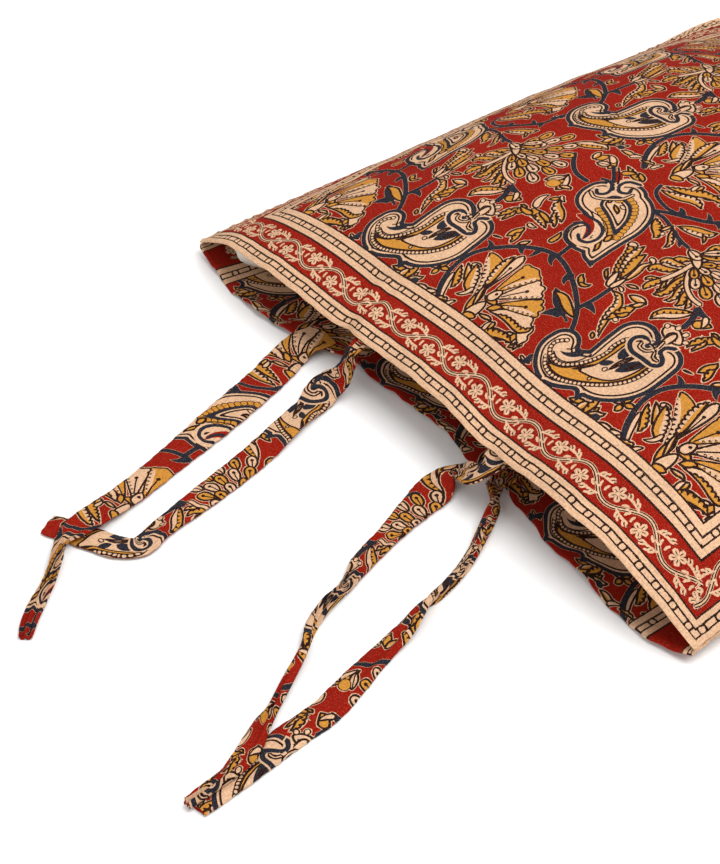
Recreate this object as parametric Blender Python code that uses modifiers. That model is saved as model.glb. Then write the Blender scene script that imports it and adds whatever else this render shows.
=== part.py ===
"""A square printed cotton cushion cover, filled with its pad and lying on its back.

The cover is two square panels sewn along three sides. The fourth side is an open mouth with two pairs
of cloth ties. X runs along the mouth, Y from the mouth to the closed side, and Z up. The origin is on
the surface that the cover rests on, under the flat middle of the back panel. All sizes are in metres.
"""

import math

import bmesh
import bpy
import numpy as np

# Cloth
CLOTH = 0.400  # finished side of each square panel
SHEET = 0.0012  # thickness of a panel
GAP = 0.0003  # clear space between pieces that touch
TIE_THICK = 0.0022  # a folded and stitched strip
TIE_LENGTHS = 34  # lengths along a tie
PANEL_CELLS = 24  # cells along each side of a panel

# The filled shape
CROWN = 0.061  # rise of the front panel over its seams
SEAM_SLOPE = math.radians(75.4)  # how steep a freely filled panel leaves its seam
SLOPE_POWER_X = 2.35  # how fast that slope dies away across the cover
SLOPE_POWER_Y = 2.84  # and from the closed side towards the middle
MOUTH_POWER = 2.0  # how the lift at the mouth grows into the crown
CREST_SHIFT = 0.17  # the crest lies a little nearer the right side
CORNER_REACH = 0.08  # how far a corner's own softness reaches
CORNER_SOFT_LEFT = -0.14  # share of the crown missing at the mouth's left corner, which is overfull
CORNER_SOFT_RIGHT = 0.17  # and at its right corner, which is slack
SEAM_RISE = 0.0114  # the side seams rise between the corners
SEAM_HEIGHTS = ((0.0088, 0.0196), (0.0094, 0.0136))  # at the corners: left and right, each mouth then far
MOUTH_SETBACK = 0.010  # the mouth is drawn in this far from the flat cloth's edge
FAR_EASE = 0.013  # fullness that keeps the middle of the closed side from drawing in as far as flat cloth

# The back panel
TUCK = 0.008  # cloth that turns down and under at each seam
UNDER_REACH = 0.045  # how far in from a seam the back panel meets the surface
UNDER_POWER = 2.2  # how quickly it comes down
FLAT_HEIGHT = SHEET / 2  # mid height of the back panel where it rests

# The mouth, station by station: how far along it, how far the front hem stands out of line and above the
# corners, and where the back hem lies along Y and how far it lifts off the surface
MOUTH_COLUMNS = ("along", "front_out", "front_lift", "back_y", "back_lift")
MOUTH = (
    (0.000, -0.0030, 0.0000, -0.1870, 0.0000),
    (0.030, 0.0000, 0.0145, -0.1910, 0.0010),
    (0.080, 0.0022, 0.0240, -0.1935, 0.0030),
    (0.140, 0.0008, 0.0240, -0.1810, 0.0038),
    (0.200, -0.0013, 0.0260, -0.1765, 0.0026),
    (0.260, 0.0025, 0.0255, -0.1810, 0.0014),
    (0.320, 0.0050, 0.0295, -0.1895, 0.0022),
    (0.370, 0.0030, 0.0190, -0.1925, 0.0012),
    (0.400, -0.0032, 0.0000, -0.1870, 0.0000),
)

# The inner pad: how far its edge lies from the mouth, and from each sewn side
PAD_COLUMNS = ("along", "mouth_inset")
PAD = (
    (0.000, 0.036),
    (0.020, 0.015),
    (0.034, 0.010),
    (0.046, 0.018),
    (0.062, 0.036),
    (0.090, 0.052),
    (0.200, 0.056),
    (0.340, 0.052),
    (0.400, 0.040),
)
PAD_INSET = 0.012
PAD_CLEAR = 0.0009  # clear space between the pad and a panel
PAD_EDGE = 0.10  # thickness at the pad's edge, as a share of the space there
PAD_ROUND = 0.035  # how far in the pad reaches its full thickness

# The ties, row by row past the hem: place, height of the lower edge over the surface, width, and roll
# in degrees about the tie's own length
TIE_COLUMNS = ("x", "y", "lift", "width", "roll")
TIE_A = (
    (-0.0880, -0.2000, 0.0008, 0.0205, 0),
    (-0.0795, -0.2190, 0.0003, 0.0205, 0),
    (-0.0630, -0.2625, 0.0003, 0.0190, 4),
    (-0.0525, -0.2955, 0.0003, 0.0170, 0),
    (-0.0420, -0.3270, 0.0012, 0.0160, 0),
    (-0.0360, -0.3470, 0.0034, 0.0150, 0),
    (-0.0335, -0.3570, 0.0034, 0.0135, 0),
    (-0.0295, -0.3665, 0.0034, 0.0065, 10),
    (-0.0205, -0.3750, 0.0024, 0.0060, 20),
    (-0.0120, -0.3835, 0.0003, 0.0060, 30),
    (0.0040, -0.4020, 0.0003, 0.0075, 0),
    (0.0120, -0.4085, 0.0003, 0.0060, 0),
)
TIE_B = (
    (-0.0435, -0.1960, 0.0160, 0.0085, 70),
    (-0.0465, -0.1995, 0.0055, 0.0125, 65),
    (-0.0500, -0.2050, 0.0008, 0.0165, 30),
    (-0.0465, -0.2170, 0.0004, 0.0160, 0),
    (-0.0310, -0.2600, 0.0003, 0.0160, 0),
    (-0.0195, -0.2990, 0.0003, 0.0140, 5),
    (-0.0130, -0.3245, 0.0003, 0.0120, 0),
    (-0.0085, -0.3390, 0.0003, 0.0130, 0),
    (-0.0135, -0.3460, 0.0003, 0.0140, 0),
    (-0.0250, -0.3525, 0.0003, 0.0145, 0),
    (-0.0370, -0.3585, 0.0003, 0.0145, 0),
    (-0.0470, -0.3645, 0.0003, 0.0135, 0),
)
TIE_C = (
    (0.0595, -0.1985, 0.0180, 0.0125, 25),
    (0.0490, -0.1950, 0.0085, 0.0110, 50),
    (0.0400, -0.1945, 0.0040, 0.0080, 30),
    (0.0380, -0.2010, 0.0008, 0.0185, 0),
    (0.0410, -0.2100, 0.0003, 0.0190, 0),
    (0.0450, -0.2225, 0.0003, 0.0160, 0),
    (0.0515, -0.2405, 0.0003, 0.0120, 0),
    (0.0605, -0.2640, 0.0003, 0.0100, 8),
    (0.0685, -0.2785, 0.0003, 0.0060, 25),
    (0.0745, -0.2955, 0.0003, 0.0065, 50),
    (0.0815, -0.3070, 0.0003, 0.0060, 85),
    (0.0905, -0.3165, 0.0003, 0.0065, 110),
    (0.1015, -0.3330, 0.0003, 0.0055, 135),
    (0.1100, -0.3460, 0.0014, 0.0055, 165),
    (0.1155, -0.3545, 0.0032, 0.0075, 180),
    (0.1260, -0.3705, 0.0032, 0.0100, 180),
    (0.1310, -0.3860, 0.0032, 0.0055, 180),
    (0.1335, -0.4030, 0.0032, 0.0040, 180),
)
TIE_D = (
    (0.0610, -0.1880, 0.0010, 0.0085, 60),
    (0.0670, -0.1920, 0.0003, 0.0100, 70),
    (0.0725, -0.1995, 0.0003, 0.0100, 70),
    (0.0770, -0.2070, 0.0003, 0.0075, 60),
    (0.0840, -0.2180, 0.0003, 0.0055, 60),
    (0.0910, -0.2315, 0.0003, 0.0050, 70),
    (0.0970, -0.2480, 0.0003, 0.0060, 90),
    (0.1010, -0.2610, 0.0003, 0.0110, 130),
    (0.1060, -0.2740, 0.0003, 0.0110, 160),
    (0.1110, -0.2915, 0.0003, 0.0105, 180),
    (0.1180, -0.3120, 0.0003, 0.0135, 180),
    (0.1235, -0.3285, 0.0003, 0.0145, 180),
    (0.1260, -0.3475, 0.0003, 0.0145, 180),
    (0.1315, -0.3800, 0.0003, 0.0140, 180),
    (0.1345, -0.4000, 0.0003, 0.0130, 180),
)
# Where each tie is sewn: its name, its rows, the panel, how far along the mouth, and its width there
TIE_ROOTS = (
    ("tie_a", TIE_A, "back", 0.112, 0.0200),
    ("tie_b", TIE_B, "front", 0.156, 0.0085),
    ("tie_c", TIE_C, "front", 0.262, 0.0130),
    ("tie_d", TIE_D, "back", 0.256, 0.0090),
)
TIE_UNDER_HEM = 0.010  # how far a tie's end reaches in from the hem
TIE_PAST_HEM = 0.005  # a tie runs on in the panel's line this far past the hem
TIE_SEAT = 0.0009  # clear space between a tie and the panel that it is sewn to

# Colours, as red, green, blue and alpha, with roughness
RED_PRINT = ((0.42, 0.035, 0.018, 1.0), 0.9)
BEIGE_PRINT = ((0.62, 0.36, 0.20, 1.0), 0.9)
PAD_WHITE = ((0.72, 0.68, 0.62, 1.0), 0.95)

FINE = 81  # rows and columns of the working grid that a sheet is worked out on


def column(rows, names, name):
    """One named column of a table, as an array."""
    return np.array([row[names.index(name)] for row in rows], dtype=float)


def smooth(at, stations, values):
    """Values between a table's stations on a smooth curve: a cubic in each stretch, with mean slopes."""
    widths = np.diff(stations)
    slopes = np.diff(values) / widths
    tangents = np.concatenate([slopes[:1], (slopes[:-1] + slopes[1:]) / 2, slopes[-1:]])
    cell = np.clip(np.searchsorted(stations, at, side="right") - 1, 0, len(widths) - 1)
    t = (at - stations[cell]) / widths[cell]
    start = (1 + 2 * t) * (1 - t) ** 2 * values[cell]
    end = t ** 2 * (3 - 2 * t) * values[cell + 1]
    leave = t * (1 - t) ** 2 * widths[cell] * tangents[cell]
    arrive = t ** 2 * (t - 1) * widths[cell] * tangents[cell + 1]
    return start + end + leave + arrive


def crown_share(from_middle, power):
    """Share of the full rise, from 1 in the middle (0) to 0 at the seam (1).

    The cloth's slope angle grows as a power of the distance from the middle, and the rise is its sum.
    """
    fine = np.linspace(0, 1, 401)
    slope = np.sin(SEAM_SLOPE * fine ** power)
    fall = np.concatenate([[0], np.cumsum((slope[1:] + slope[:-1]) / 2)])
    return 1 - np.interp(from_middle, fine, fall / fall[-1])


def flat_grid():
    """The working grid of a panel's flat cloth: distances from the left side and from the mouth."""
    steps = np.linspace(0, CLOTH, FINE)
    return np.meshgrid(steps, steps, indexing="ij")


def front_heights(along, deep):
    """Height of the front panel: its seams, the lifted mouth and the crown between them."""
    u = along / CLOTH
    v = deep / CLOTH
    (left_mouth, left_far), (right_mouth, right_far) = SEAM_HEIGHTS
    seams = (1 - u) * ((1 - v) * left_mouth + v * left_far) + u * ((1 - v) * right_mouth + v * right_far)
    seams = seams + SEAM_RISE * 4 * v * (1 - v)
    lift = smooth(along[:, 0], column(MOUTH, MOUTH_COLUMNS, "along"),
                  column(MOUTH, MOUTH_COLUMNS, "front_lift"))[:, None]
    across = crown_share(np.abs(2 * (u - CREST_SHIFT * u * (1 - u)) - 1), SLOPE_POWER_X)
    left = np.exp(-(along ** 2 + deep ** 2) / CORNER_REACH ** 2)
    right = np.exp(-((CLOTH - along) ** 2 + deep ** 2) / CORNER_REACH ** 2)
    crown = CROWN * across * (1 - CORNER_SOFT_LEFT * left) * (1 - CORNER_SOFT_RIGHT * right)
    near_half = lift + (crown - lift) * (1 - np.clip(1 - 2 * v, 0, 1) ** MOUTH_POWER)
    far_half = crown * crown_share(np.abs(2 * v - 1), SLOPE_POWER_Y)
    return seams + np.where(v < 0.5, near_half, far_half)


def drawn_in(heights, axis):
    """Distance covered in plan by cloth that keeps its length while it rises and falls."""
    step = CLOTH / (FINE - 1)
    rise = np.diff(heights, axis=axis)
    run = np.sqrt(np.clip(step ** 2 - rise ** 2, (0.15 * step) ** 2, None))
    start = np.zeros_like(np.take(run, [0], axis=axis))
    return np.concatenate([start, np.cumsum(run, axis=axis)], axis=axis)


def front_sheet():
    """Middle surface of the front panel on the working grid."""
    along, deep = flat_grid()
    z = front_heights(along, deep)
    x = drawn_in(z, 0)
    x = x - x[-1:] / 2
    out = smooth(along[:, 0], column(MOUTH, MOUTH_COLUMNS, "along"),
                 column(MOUTH, MOUTH_COLUMNS, "front_out"))[:, None]
    u, v = along / CLOTH, deep / CLOTH
    far = np.clip(2 * v - 1, 0, 1)
    ease = FAR_EASE * 4 * u * (1 - u) * far ** 2 * (3 - 2 * far)
    y = drawn_in(z, 1) - CLOTH / 2 + MOUTH_SETBACK - out * (1 - v) ** 3 + ease
    return np.stack([x, y, z], axis=-1)


def tucked(distance):
    """Distance in plan from a seam of cloth that first turns down and then runs under."""
    return np.sqrt(distance ** 2 + TUCK ** 2) - TUCK


def tucked_share(along, far_only=False):
    """Place in plan between two sides, from 0 to 1, of cloth that tucks under at both, or at the far one."""
    half = CLOTH / 2
    far = 1 - 0.5 * tucked(CLOTH - along) / tucked(half)
    near = 0.5 * along / half if far_only else 0.5 * tucked(along) / tucked(half)
    return np.where(along < half, near, far)


def back_sheet(front):
    """Middle surface of the back panel: sewn to the front's outline, and flat on the surface between."""
    along, deep = flat_grid()
    left, right, far = front[0], front[-1], front[:, -1]
    mouth_y = smooth(along[:, 0], column(MOUTH, MOUTH_COLUMNS, "along"),
                     column(MOUTH, MOUTH_COLUMNS, "back_y"))
    mouth_y[0], mouth_y[-1] = left[0, 1], right[0, 1]
    p = tucked_share(along)[..., None]
    q = tucked_share(deep, far_only=True)[..., None]
    mouth_x = left[0, 0] + (right[0, 0] - left[0, 0]) * tucked_share(along[:, 0])
    mouth = np.stack([mouth_x, mouth_y], axis=-1)
    sides = (1 - p) * left[None, :, :2] + p * right[None, :, :2]
    ends = (1 - q) * mouth[:, None] + q * far[:, None, :2]
    corners = ((1 - p) * (1 - q) * mouth[0] + p * (1 - q) * mouth[-1]
               + (1 - p) * q * far[0, :2] + p * q * far[-1, :2])
    plan = sides + ends - corners
    lift = smooth(along[:, 0], column(MOUTH, MOUTH_COLUMNS, "along"),
                  column(MOUTH, MOUTH_COLUMNS, "back_lift"))[:, None]
    side_fall = np.clip(1 - np.minimum(along, CLOTH - along) / UNDER_REACH, 0, 1) ** UNDER_POWER
    far_fall = np.clip(1 - (CLOTH - deep) / UNDER_REACH, 0, 1) ** UNDER_POWER
    mouth_fall = np.clip(1 - deep / UNDER_REACH, 0, 1) ** 2
    held = 1 - (1 - side_fall) * (1 - far_fall)
    side_seam = np.where(along < CLOTH / 2, left[None, :, 2], right[None, :, 2])
    seam = np.where(far_fall > side_fall, far[:, None, 2], side_seam) - SHEET - GAP
    z = FLAT_HEIGHT + (seam - FLAT_HEIGHT) * held + lift * mouth_fall * (1 - held)
    return np.concatenate([plan, z[..., None]], axis=-1)


def read(sheet, along, deep):
    """Points of a sheet at flat distances along and deep, between the working grid's points."""
    i = np.clip(along / CLOTH * (FINE - 1), 0, FINE - 1.00001)
    j = np.clip(deep / CLOTH * (FINE - 1), 0, FINE - 1.00001)
    low_i, low_j = i.astype(int), j.astype(int)
    s, t = (i - low_i)[..., None], (j - low_j)[..., None]
    near = sheet[low_i, low_j] * (1 - s) + sheet[low_i + 1, low_j] * s
    far = sheet[low_i, low_j + 1] * (1 - s) + sheet[low_i + 1, low_j + 1] * s
    return near * (1 - t) + far * t


def normals_of(sheet):
    """Upward unit normals of a sheet on the working grid."""
    across = np.gradient(sheet, axis=0)
    down = np.gradient(sheet, axis=1)
    normal = np.cross(across, down)
    return normal / np.linalg.norm(normal, axis=-1, keepdims=True)


def stations(share):
    """Flat distance for a share from 0 to 1 of the cells: closer together near both sides."""
    return CLOTH * (0.3 * share + 0.7 * (1 - np.cos(np.pi * share)) / 2)


def places_of(verts):
    """The unit coordinates of a primitive's vertices, as an array."""
    return np.array([vert.co[:] for vert in verts])


def put(verts, points):
    """Moves vertices to their places."""
    for vert, point in zip(verts, points):
        vert.co = point


def material(name, finish):
    """A plain cloth finish of one colour."""
    (colour, roughness) = finish
    made = bpy.data.materials.new(name)
    made.use_nodes = True
    shader = made.node_tree.nodes["Principled BSDF"]
    shader.inputs["Base Color"].default_value = colour
    shader.inputs["Roughness"].default_value = roughness
    shader.inputs["Metallic"].default_value = 0.0
    made.diffuse_color = colour
    return made


def add_object(name, shape, finish, collection):
    """Turns a finished bmesh into a named, smooth shaded object."""
    mesh = bpy.data.meshes.new(name)
    shape.to_mesh(mesh)
    shape.free()
    mesh.shade_smooth()
    mesh.materials.append(finish)
    made = bpy.data.objects.new(name, mesh)
    collection.objects.link(made)
    return made


def add_thickness(piece, thickness):
    """Gives an open sheet its thickness, half on each side of it."""
    solid = piece.modifiers.new("Thickness", "SOLIDIFY")
    solid.thickness = thickness
    solid.offset = 0.0
    solid.use_even_offset = True
    solid.use_quality_normals = True


def make_panel(name, sheet, finish, collection):
    """A panel: a grid carried onto the sheet, with its thickness."""
    shape = bmesh.new()
    bmesh.ops.create_grid(shape, x_segments=PANEL_CELLS, y_segments=PANEL_CELLS, size=0.5)
    share = places_of(shape.verts) + 0.5
    put(shape.verts, read(sheet, stations(share[:, 0]), stations(share[:, 1])))
    panel = add_object(name, shape, finish, collection)
    add_thickness(panel, SHEET)


def make_pad(front, back, finish, collection):
    """The pad: a gridded block whose top follows the front panel and whose foot follows the back one."""
    shape = bmesh.new()
    bmesh.ops.create_cube(shape, size=2.0)
    level = [e for e in shape.edges if abs(e.verts[0].co.z - e.verts[1].co.z) < 1]
    bmesh.ops.subdivide_edges(shape, edges=level, cuts=PANEL_CELLS - 5, use_grid_fill=True)
    unit = places_of(shape.verts)
    share_x, share_y = (unit[:, 0] + 1) / 2, (unit[:, 1] + 1) / 2
    room = (CLOTH - 2 * PAD_INSET) / CLOTH
    along = PAD_INSET + room * stations(share_x)
    inset = smooth(along, column(PAD, PAD_COLUMNS, "along"), column(PAD, PAD_COLUMNS, "mouth_inset"))
    deep = inset + (CLOTH - PAD_INSET - inset) * stations(share_y) / CLOTH
    offset = SHEET / 2 + PAD_CLEAR
    top = read(front - normals_of(front) * offset, along, deep)
    foot = read(back + normals_of(back) * offset, along, deep)
    edge = np.minimum.reduce([along - PAD_INSET, CLOTH - PAD_INSET - along, deep - inset,
                              CLOTH - PAD_INSET - deep])
    t = np.clip(edge / PAD_ROUND, 0, 1)
    full = (PAD_EDGE + (1 - PAD_EDGE) * np.sqrt(1 - (1 - t) ** 2))[:, None]
    middle = (top + foot) / 2
    put(shape.verts, middle + unit[:, 2:] * full * (top - foot) / 2)
    bmesh.ops.recalc_face_normals(shape, faces=shape.faces)
    add_object("inner_pad", shape, finish, collection)


def seated_rows(sheet, along, side, width):
    """A tie's first three rows: inside the hem, at it and just past it, seated on the panel's inner face."""
    normal = normals_of(sheet)
    inner, edge = (read(sheet, np.array(along), np.array(d)) for d in (TIE_UNDER_HEM, 0.0))
    up = read(normal, np.array(along), np.array(TIE_UNDER_HEM / 2))
    shift = side * up / np.linalg.norm(up) * (SHEET / 2 + TIE_SEAT + TIE_THICK / 2)
    past = (edge - inner) / np.linalg.norm(edge - inner) * TIE_PAST_HEM
    return [(*(point + shift), width, 0.0) for point in (inner, edge, edge + past)]


def tie_path(sheet, rows, along, side, width):
    """Every row of a tie as centre, width and roll: its seat on the panel, then its table."""
    path = seated_rows(sheet, along, side, width)
    for x, y, lift, row_width, roll in rows:
        turn = math.radians(roll)
        rise = abs(math.sin(turn)) * row_width / 2 + abs(math.cos(turn)) * TIE_THICK / 2
        path.append((x, y, lift + rise, row_width, turn))
    return np.array(path)


def make_tie(name, path, finish, collection):
    """A tie: a strip carried along its path, turned about its own length, with its thickness."""
    shape = bmesh.new()
    bmesh.ops.create_grid(shape, x_segments=TIE_LENGTHS, y_segments=2, size=0.5)
    unit = places_of(shape.verts)
    steps = np.concatenate([[0], np.cumsum(np.linalg.norm(np.diff(path[:, :3], axis=0), axis=1))])
    at = (unit[:, 0] + 0.5) * steps[-1]
    near = np.clip(at - 0.001, 0, steps[-1])
    past = np.clip(at + 0.001, 0, steps[-1])
    centre, before, after = (
        np.stack([smooth(place, steps, path[:, k]) for k in range(3)], axis=-1) for place in (at, near, past)
    )
    tangent = after - before
    tangent = tangent / np.linalg.norm(tangent, axis=-1, keepdims=True)
    level = np.cross(tangent, [0.0, 0.0, 1.0])
    level = level / np.linalg.norm(level, axis=-1, keepdims=True)
    over = np.cross(level, tangent)
    width = smooth(at, steps, path[:, 3])[:, None]
    roll = smooth(at, steps, path[:, 4])[:, None]
    across = np.cos(roll) * level + np.sin(roll) * over
    reach = np.abs(across[:, 2:]) * width / 2 + np.abs(np.cross(tangent, across)[:, 2:]) * TIE_THICK / 2
    centre[:, 2:] = np.maximum(centre[:, 2:], reach + GAP)
    put(shape.verts, centre + across * width * unit[:, 1:2])
    tie = add_object(name, shape, finish, collection)
    add_thickness(tie, TIE_THICK)


def main():
    """Clears the scene and builds the cover."""
    for old in list(bpy.data.objects):
        bpy.data.objects.remove(old)
    collection = bpy.data.collections.new("cushion_cover")
    bpy.context.scene.collection.children.link(collection)
    red = material("red_print", RED_PRINT)
    beige = material("beige_print", BEIGE_PRINT)
    white = material("pad_white", PAD_WHITE)
    front = front_sheet()
    back = back_sheet(front)
    make_panel("front_panel", front, red, collection)
    make_panel("back_panel", back, beige, collection)
    make_pad(front, back, white, collection)
    sheets = {"front": (front, -1), "back": (back, 1)}
    for name, rows, panel, along, width in TIE_ROOTS:
        sheet, side = sheets[panel]
        make_tie(name, tie_path(sheet, rows, along, side, width), red, collection)


main()
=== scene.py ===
"""Looks of a square printed cotton cushion cover with cloth ties, filled with its pad and lying on its back.

Lengths are metres in the object's frame, and millimetres in the print. The print lies in flat cloth
coordinates: u runs along the mouth, and v from the mouth to the closed side.
"""

import logging
import math
from collections.abc import Callable
from dataclasses import dataclass
from enum import Enum, IntEnum
from typing import NamedTuple

import bpy
import numpy as np
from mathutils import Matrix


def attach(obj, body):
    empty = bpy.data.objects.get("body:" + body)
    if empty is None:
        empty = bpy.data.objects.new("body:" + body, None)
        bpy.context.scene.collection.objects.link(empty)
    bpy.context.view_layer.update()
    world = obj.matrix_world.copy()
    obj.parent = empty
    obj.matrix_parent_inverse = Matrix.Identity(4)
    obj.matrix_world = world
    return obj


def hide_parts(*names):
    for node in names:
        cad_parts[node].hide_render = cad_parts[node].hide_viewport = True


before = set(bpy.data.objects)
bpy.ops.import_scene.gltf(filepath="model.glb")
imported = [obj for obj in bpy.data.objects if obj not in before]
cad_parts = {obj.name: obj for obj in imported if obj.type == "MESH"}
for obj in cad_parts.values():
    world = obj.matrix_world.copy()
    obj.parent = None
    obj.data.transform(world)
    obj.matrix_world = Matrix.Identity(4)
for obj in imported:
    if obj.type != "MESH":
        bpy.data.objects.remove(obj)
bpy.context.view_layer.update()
log = logging.getLogger("cushion_cover")

Array = np.ndarray
BODY = "root"
CLOTH = 0.400  # finished side of each square panel, in metres
MM = 0.001


class Ink(IntEnum):
    """Colours of the print, in the order of the colour ramp that holds them."""

    BEIGE = 0
    MUSTARD = 1
    NAVY = 2
    RED = 3
    BLACK = 4


@dataclass(frozen=True)
class Look:
    """A printed mark's width profile and how it is filled. Lengths are millimetres.

    The half width at a share t of the length is in proportion to t**foot * (1 - t)**tip.

    Attributes:
        foot: Power of the profile at its start: 0 is blunt, 1 is a point.
        tip: Power of the profile at its end.
        left: Ink left of the axis, or of the dots where there are dots.
        right: Ink right of the axis, or of the ground between dots; none is the same as left.
        line: Width of the dark outline inside the edge.
        vein: Half width of a dark middle line; a negative one also ends in a dot.
        tick: Length of dark teeth from the left edge, which is notched there; a negative one puts them
            along the axis. Where there are dots, it is the length from one to the next.
        dot: Radius of a row of round dots on the axis.
        rim: Width of the bare rim that the ground leaves round the mark.
        flick: Whether the tip turns back against the bend.
    """

    foot: float = 0.0
    tip: float = 0.0
    left: Ink = Ink.BEIGE
    right: Ink | None = None
    line: float = 1.2
    vein: float = 0.0
    tick: float = 0.0
    dot: float = 0.0
    rim: float = 0.34
    flick: bool = False


class Style(Enum):
    """Named kinds of printed mark."""

    HALF_LEAF = Look(0.75, 0.75, Ink.BEIGE, Ink.MUSTARD, flick=True)
    HALF_TEETH = Look(0.75, 0.6, Ink.BEIGE, Ink.MUSTARD, tick=1.7, flick=True)
    BEIGE_VEIN = Look(0.7, 0.7, vein=0.36)
    MUSTARD_LEAF = Look(0.75, 0.75, Ink.MUSTARD, flick=True)
    MUSTARD_TEETH = Look(0.75, 0.6, Ink.MUSTARD, tick=1.7, flick=True)
    SPLIT_LEAF = Look(0.7, 0.6, Ink.BEIGE, Ink.MUSTARD, tick=-2.0, flick=True)
    SPLIT_BACK = Look(0.7, 0.6, Ink.MUSTARD, Ink.BEIGE, tick=-2.0, flick=True)
    NAVY_LEAF = Look(0.7, 0.7, Ink.NAVY, line=0, rim=0.14)
    NAVY_DROP = Look(0.55, 0.45, Ink.NAVY, line=0)
    FAN_BEIGE = Look(1.1, 0.24, vein=-0.36)
    LOBE_BEIGE = Look(0.3, 0.5)
    LOBE_MUSTARD = Look(0.3, 0.5, Ink.MUSTARD)
    HALF_FINGER = Look(0.5, 0.4, Ink.BEIGE, Ink.MUSTARD, tick=1.3, flick=True)
    FINGER_MUSTARD = Look(0.5, 0.4, Ink.MUSTARD, tick=1.3, flick=True)
    SEED_BEIGE = Look(0.55, 0.35, vein=-0.36)
    SEED_MUSTARD = Look(0.55, 0.35, Ink.MUSTARD, vein=-0.36)
    CURL = Look(0.2, 0.5, line=1.0)
    CURL_MUSTARD = Look(0.25, 0.6, Ink.MUSTARD)
    THORN = Look(0.0, 0.8, Ink.NAVY, line=0, rim=0.12)
    ROUND = Look(0.5, 0.5, line=0.75)
    ROUND_MUSTARD = Look(0.5, 0.5, Ink.MUSTARD, line=0.55)
    PIP = Look(0.5, 0.5, Ink.BLACK, line=0)
    TICK = Look(0.4, 0.4, Ink.BLACK, line=0, rim=0)
    STEM = Look(0, 0, Ink.NAVY, line=0, rim=0.12)
    GROUND = Look(0.3, 0.5, Ink.RED, line=0)
    RIBBON = Look(line=0.85)
    LINE = Look(0, 0, Ink.BLACK, line=0)
    BEADS = Look(0, 0, Ink.BEIGE, Ink.BLACK, line=0, tick=2.1, dot=0.74)
    SCALLOPS = Look(0, 0, Ink.MUSTARD, Ink.BEIGE, line=0, tick=2.9, dot=1.75)
    NAVY_AREA = Look(0, 0, Ink.NAVY, line=0, rim=0.18)
    BEIGE_AREA = Look(line=0)
    LINED_AREA = Look(line=1.0)
    MUSTARD_AREA = Look(0, 0, Ink.MUSTARD, line=0.9)
    TEETH = Look(0.15, 0.15, line=0, tick=2.1, rim=0)
    VINE = Look(line=0.6, rim=0.26)
    VINE_PETAL = Look(0.45, 0.3, line=0, rim=0.14)
    VINE_CURL = Look(0.2, 0.2, line=0, rim=0.12)


NOTCH = 0.35  # depth of the notch in the edge at a tooth, as a share of the tooth's length
TOOTH_PITCH = 2.8  # millimetres from one dark tooth to the next
END_SHARE = 0.02  # the profile's slope is held this near its ends
VEIN_START = 0.05  # share of the length where a middle line begins
VEIN_END = 0.68  # and where its end dot lies
VEIN_DOT = 2.6  # radius of that dot, in half widths of the line
DOT_LINE = 0.24  # half width of the dark line round a dot in a row, in millimetres
DOT_SEAM = 0.22  # half width of the line between two dots that touch


def spline(points: Array, steps: int) -> Array:
    """Reads a smooth curve through a few points.

    Between two points each coordinate is a cubic whose slopes there are half the step between their
    neighbours.

    Args:
        points: Points to pass through, one row each.
        steps: Number of lengths between two points.

    Returns:
        The points of the curve, ends included.
    """
    padded = np.concatenate([2 * points[:1] - points[1:2], points, 2 * points[-1:] - points[-2:-1]])
    t = (np.arange(steps) / steps)[None, :, None]
    p0, p1, p2, p3 = (padded[k:len(padded) - 3 + k, None] for k in range(4))
    curve = p1 + 0.5 * t * (p2 - p0 + t * (2 * p0 - 5 * p1 + 4 * p2 - p3 + t * (3 * (p1 - p2) + p3 - p0)))
    return np.concatenate([curve.reshape(-1, points.shape[1]), points[-1:]])


def direction(degrees: float) -> Array:
    """Unit vector at an angle from +u towards +v."""
    return np.array([math.cos(math.radians(degrees)), math.sin(math.radians(degrees))])


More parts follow.
